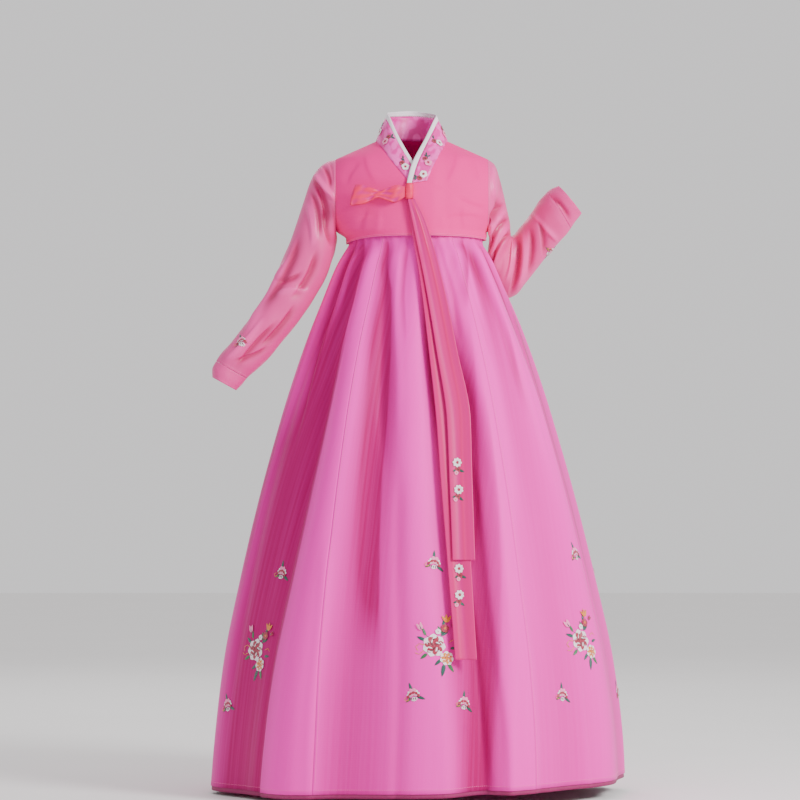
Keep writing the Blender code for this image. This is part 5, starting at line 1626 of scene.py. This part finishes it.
for i, station in enumerate(COLLAR_FLOWERS):
    column = round(station / LAST_STATION * (COLLAR_COLUMNS - 1))
    middle_row = COLLAR_POINTS[COLLAR_ROWS // 2]
    middle = Vector(middle_row[column].tolist())
    way = middle_row[min(column + 2, COLLAR_COLUMNS - 1)] - middle_row[max(column - 2, 0)]
    up = Vector((COLLAR_POINTS[-3, column] - COLLAR_POINTS[2, column]).tolist()).normalized()
    out = Vector(way.tolist()).cross(up).normalized()
    if out.dot(middle - Vector((*NECK_AXIS[:2], middle.z))) < 0:
        out = -out
    right = up.cross(out).normalized()
    stitch_on(f"embroidered_collar_flower_{i + 1}", [COLLAR], middle,
              collar_sprig(("white", "pale")[i % 2]), (right, out.cross(right), out), turn=35 * (-1) ** i)

# %% [markdown]
# ## Seams and stitches
#
# A seam shows as a fine groove with its stitches beside it. The jacket's hem, its armholes, its cuffs
# and the skirt's hem and gores are sewn by machine: stitches of 2.4 mm with little space between
# them. They are drawn 3.2 mm long here. Along the jacket's hem runs a thin piping of the lining.

# %% Stitches and piping


def grained_paint(name, scale, detail, first, second, roughness):
    """A surface of two close shades in a fine grain."""
    material, tree, shader = new_material(name)
    noise = add_node(tree, "ShaderNodeTexNoise", Scale=scale, Detail=detail)
    base = mix_colours(tree, noise.outputs["Fac"], colour(first), colour(second))
    tree.links.new(base, shader.inputs["Base Color"])
    shader.inputs["Roughness"].default_value = roughness
    return material


THREAD = grained_paint("polyester_sewing_thread", 900.0, 1.0, "#F0509C", "#FA78B8", 0.45)
STITCH_LENGTH, STITCH_SPACE, STITCH_HALF_WIDTH, STITCH_HEIGHT = 3.2 * MM, 1.6 * MM, 0.4 * MM, 0.35 * MM
STITCH_ENDS = (
    # place along the stitch, share of the full width and height there
    (0, 0.3, 0.1),
    (0.2, 1, 1),
    (0.8, 1, 1),
    (1, 0.3, 0.1),
)
STITCH_SECTION = ((-1, 0.05), (-0.5, 0.9), (0.5, 0.9), (1, 0.05))
PIPING_RADIUS, PIPING_SUNK, PIPING_SIDES = 0.8 * MM, 0.2 * MM, 10


def path_frames(path, outs):
    outs = unit(outs)
    return outs, unit(np.cross(unit(np.gradient(path, axis=0)), outs))


def stitches(name, path, outs):
    """A run of machine stitches along a path on the cloth, each a small rounded bead of thread."""
    outs, sides = path_frames(path, outs)
    run = np.concatenate([[0], np.cumsum(np.linalg.norm(np.diff(path, axis=0), axis=1))])
    starts = np.arange(STITCH_SPACE, run[-1] - STITCH_LENGTH, STITCH_LENGTH + STITCH_SPACE)
    points = []
    for along_stitch, wide, high in STITCH_ENDS:
        at = starts + STITCH_LENGTH * along_stitch
        middle, out, side = (
            np.stack([np.interp(at, run, values[:, i]) for i in range(3)], axis=-1)
            for values in (path, outs, sides)
        )
        for across, up in STITCH_SECTION:
            beside = side * across * wide * STITCH_HALF_WIDTH
            points.append(middle + beside + out * up * high * STITCH_HEIGHT)
    size = len(points)
    corner = np.array([4 * i + j for i in range(3) for j in range(3)])
    faces = corner[:, None] + np.array([0, 4, 5, 1])
    faces = faces[None] + size * np.arange(len(starts))[:, None, None]
    piece = new_piece(name, np.stack(points, axis=1), faces.reshape(-1, 4), [THREAD])


def piping(name, path, outs):
    outs, sides = path_frames(path, outs)
    turns = np.linspace(0, 2 * math.pi, PIPING_SIDES, endpoint=False)[None, :, None]
    points = path[:, None] + (np.cos(turns) * outs[:, None] + np.sin(turns) * sides[:, None]) * PIPING_RADIUS
    cloth(name, points, SATIN, 0, path.mean(axis=0), closed=True)


def closed(line):
    return np.concatenate([line, line[:1]])


for label, points, piece in (
    ("left", FRONT_LEFT_POINTS, FRONT_LEFT), ("right", FRONT_RIGHT_POINTS, FRONT_RIGHT),
    ("back", BACK_POINTS, BACK),
):
    out = facing(grid_normals(points), points, INSIDE_JACKET)
    stitches(f"stitches_jacket_hem_{label}", points[1], out[1])
    low_edge = points[0] - out[0] * PIPING_SUNK
    piping(f"piping_jacket_hem_{label}", low_edge[2:-2], out[0][2:-2])
for label, pieces in (("right", RIGHT_SLEEVE), ("left", LEFT_SLEEVE)):
    for place, part, row in (("armhole", 0, 2), ("cuff", 0, -3), ("cuff_mouth", 1, -3)):
        piece, points, centre = pieces[part]
        line, out = closed(points[row]), closed((points - centre)[row])
        stitches(f"stitches_{place}_{label}", line, out)
for label, row, points, piece in (
    ("collar_low", 1, COLLAR_POINTS, COLLAR), ("collar_high", -2, COLLAR_POINTS, COLLAR),
    ("white_edge", 0, EDGE_POINTS, WHITE_EDGE),
):
    stitches(f"stitches_{label}", points[row], out_of_neck(points)[row])

# %% Stitches of the skirt

HEM_STITCHES_UP, SEAM_STARTS_BELOW, SEAM_ENDS_ABOVE = 9 * MM, 4 * MM, 14 * MM
HEM_PLACES, SEAM_PLACES = 90, 150
# All of these are degrees round the body: how far stitches stay off a gore's edge, and the step
# to a second place that tells which way the cloth faces.
HEM_OFF_EDGE, HEM_STEP, SEAM_OFF_EDGE, SEAM_STEP = 0.4, 0.3, 0.55, 0.35


def stitch_skirt(name, degrees, heights, ahead):
    line, _ = skirt_surface(degrees, heights)
    further, _ = skirt_surface(degrees + ahead, heights)
    way = further - line
    stitches(name, line, np.stack([way[:, 1], -way[:, 0], 0 * way[:, 0]], axis=-1))


for node, first, last in SKIRT_PANELS:
    name = organza_name(node)
    degrees = np.linspace(first + HEM_OFF_EDGE, last - HEM_OFF_EDGE, HEM_PLACES)
    stitch_skirt(f"stitches_hem_{name}", degrees, skirt_hem(degrees) + HEM_STITCHES_UP, HEM_STEP)
    heights = np.linspace(SKIRT_TOP - SEAM_STARTS_BELOW, SKIRT_HEM + SEAM_ENDS_ABOVE, SEAM_PLACES)
    beside_seam = np.full(SEAM_PLACES, first + SEAM_OFF_EDGE)
    stitch_skirt(f"stitches_seam_{name}", beside_seam, heights, SEAM_STEP)

# %% [markdown]
# ## The flat cut of each piece
#
# A pattern maker would cut these sizes, width by length in metres, from the bolt. They were chosen
# for a garment of this size: what is worn is the flat piece, gathered, draped or folded.

# %% Flat sizes

FLAT = {
    # piece: width, length, how it is held, what it hangs from or lies on, flat area
    organza_name(node): (0.52, 1.22, "gathered", ["cotton_chest_band"], 0.47) for node, _, _ in SKIRT_PANELS
}
FLAT.update({
    "taffeta_under_layer": (2.95, 0.072, "hung", ["cotton_chest_band"], None),
    "crepe_front_left": (0.25, 0.23, "draped", [], 0.040),
    "crepe_front_right": (0.27, 0.23, "draped", [], 0.046),
    "crepe_back": (0.42, 0.23, "draped", [], 0.088),
    "brocade_collar": (0.62, 0.052, "folded", ["crepe_back"], None),
    "cotton_collar_edge": (0.60, 0.011, "folded", ["brocade_collar"], None),
    "satin_sleeve_right": (0.46, 0.50, "draped", ["crepe_front_right"], 0.148),
    "satin_sleeve_left": (0.46, 0.50, "draped", ["crepe_front_left"], 0.148),
    "satin_cuff_right": (0.20, 0.045, "draped", ["satin_sleeve_right"], None),
    "satin_cuff_left": (0.22, 0.050, "draped", ["satin_sleeve_left"], None),
    "cotton_chest_band": (0.80, 0.060, "stretched", [], None),
    "ribbon_wound_knot": (0.052, 0.045, "folded", ["crepe_front_left"], None),
    "ribbon_bow_loop": (0.036, 0.240, "folded", ["ribbon_wound_knot"], None),
    "ribbon_front_tail": (0.050, 0.820, "hung", ["ribbon_wound_knot"], None),
    "ribbon_rear_tail": (0.050, 1.020, "hung", ["ribbon_wound_knot"], None),
})

# %% [markdown]
# ## Floor, light and camera
#
# A pale floor and plain soft light, strongest from the right and in front as in the photo, show the
# folds without hard shadows.

# %% Stage

FLOOR_Z, AIM = -1.362, Vector((-0.0344, 0, -0.520))


def soft_light(name, place, target, size, watts):
    data = bpy.data.lights.new(name, "AREA")
    data.shape, data.size, data.energy = "DISK", size, watts
    lamp = bpy.data.objects.new(name, data)
    bpy.context.scene.collection.objects.link(lamp)
    lamp.location = place
    lamp.rotation_euler = (Vector(target) - Vector(place)).to_track_quat("-Z", "Y").to_euler()


bpy.ops.mesh.primitive_plane_add(size=24, location=(0, 0, FLOOR_Z))
floor = bpy.context.object
floor.name = "floor"
floor.data.materials.append(grained_paint("matte_white_paint", 60.0, 2.0, "#F3F1F0", "#EFEDEC", 0.9))
floor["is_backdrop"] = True
world = bpy.data.worlds.new("pale_room")
world.use_nodes = True
world.node_tree.nodes["Background"].inputs["Color"].default_value = colour("#F4F2F3")
world.node_tree.nodes["Background"].inputs["Strength"].default_value = 1.0
bpy.context.scene.world = world
soft_light("key_light", (2.9, -2.8, 1.2), (0, 0, -0.6), 1.4, 235)
soft_light("fill_light", (-3.4, -3.4, 0.4), (0, 0, -0.7), 2.6, 8)
soft_light("back_light", (-0.8, 3.6, 1.8), (0, 0, -0.5), 2.6, 40)
camera_data = bpy.data.cameras.new("camera")
camera_data.lens, camera_data.sensor_width = 167.4, 36.0
camera = bpy.data.objects.new("camera", camera_data)
bpy.context.scene.collection.objects.link(camera)
camera.location = EYE
camera.rotation_euler = (AIM - EYE).to_track_quat("-Z", "Y").to_euler()
bpy.context.scene.camera = camera

# %% [markdown]
# ## Size
#
# The cloth stays inside the imported model's box, apart from the few millimetres that a crease stands
# proud. Both boxes are printed.

# %% Print the two boxes
visual_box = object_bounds()
for label, (low, high) in (("packed model", CAD_BOX), ("dressed model", visual_box)):
    print(label, [round((b - a) * 1000, 1) for a, b in zip(low, high)], "mm")
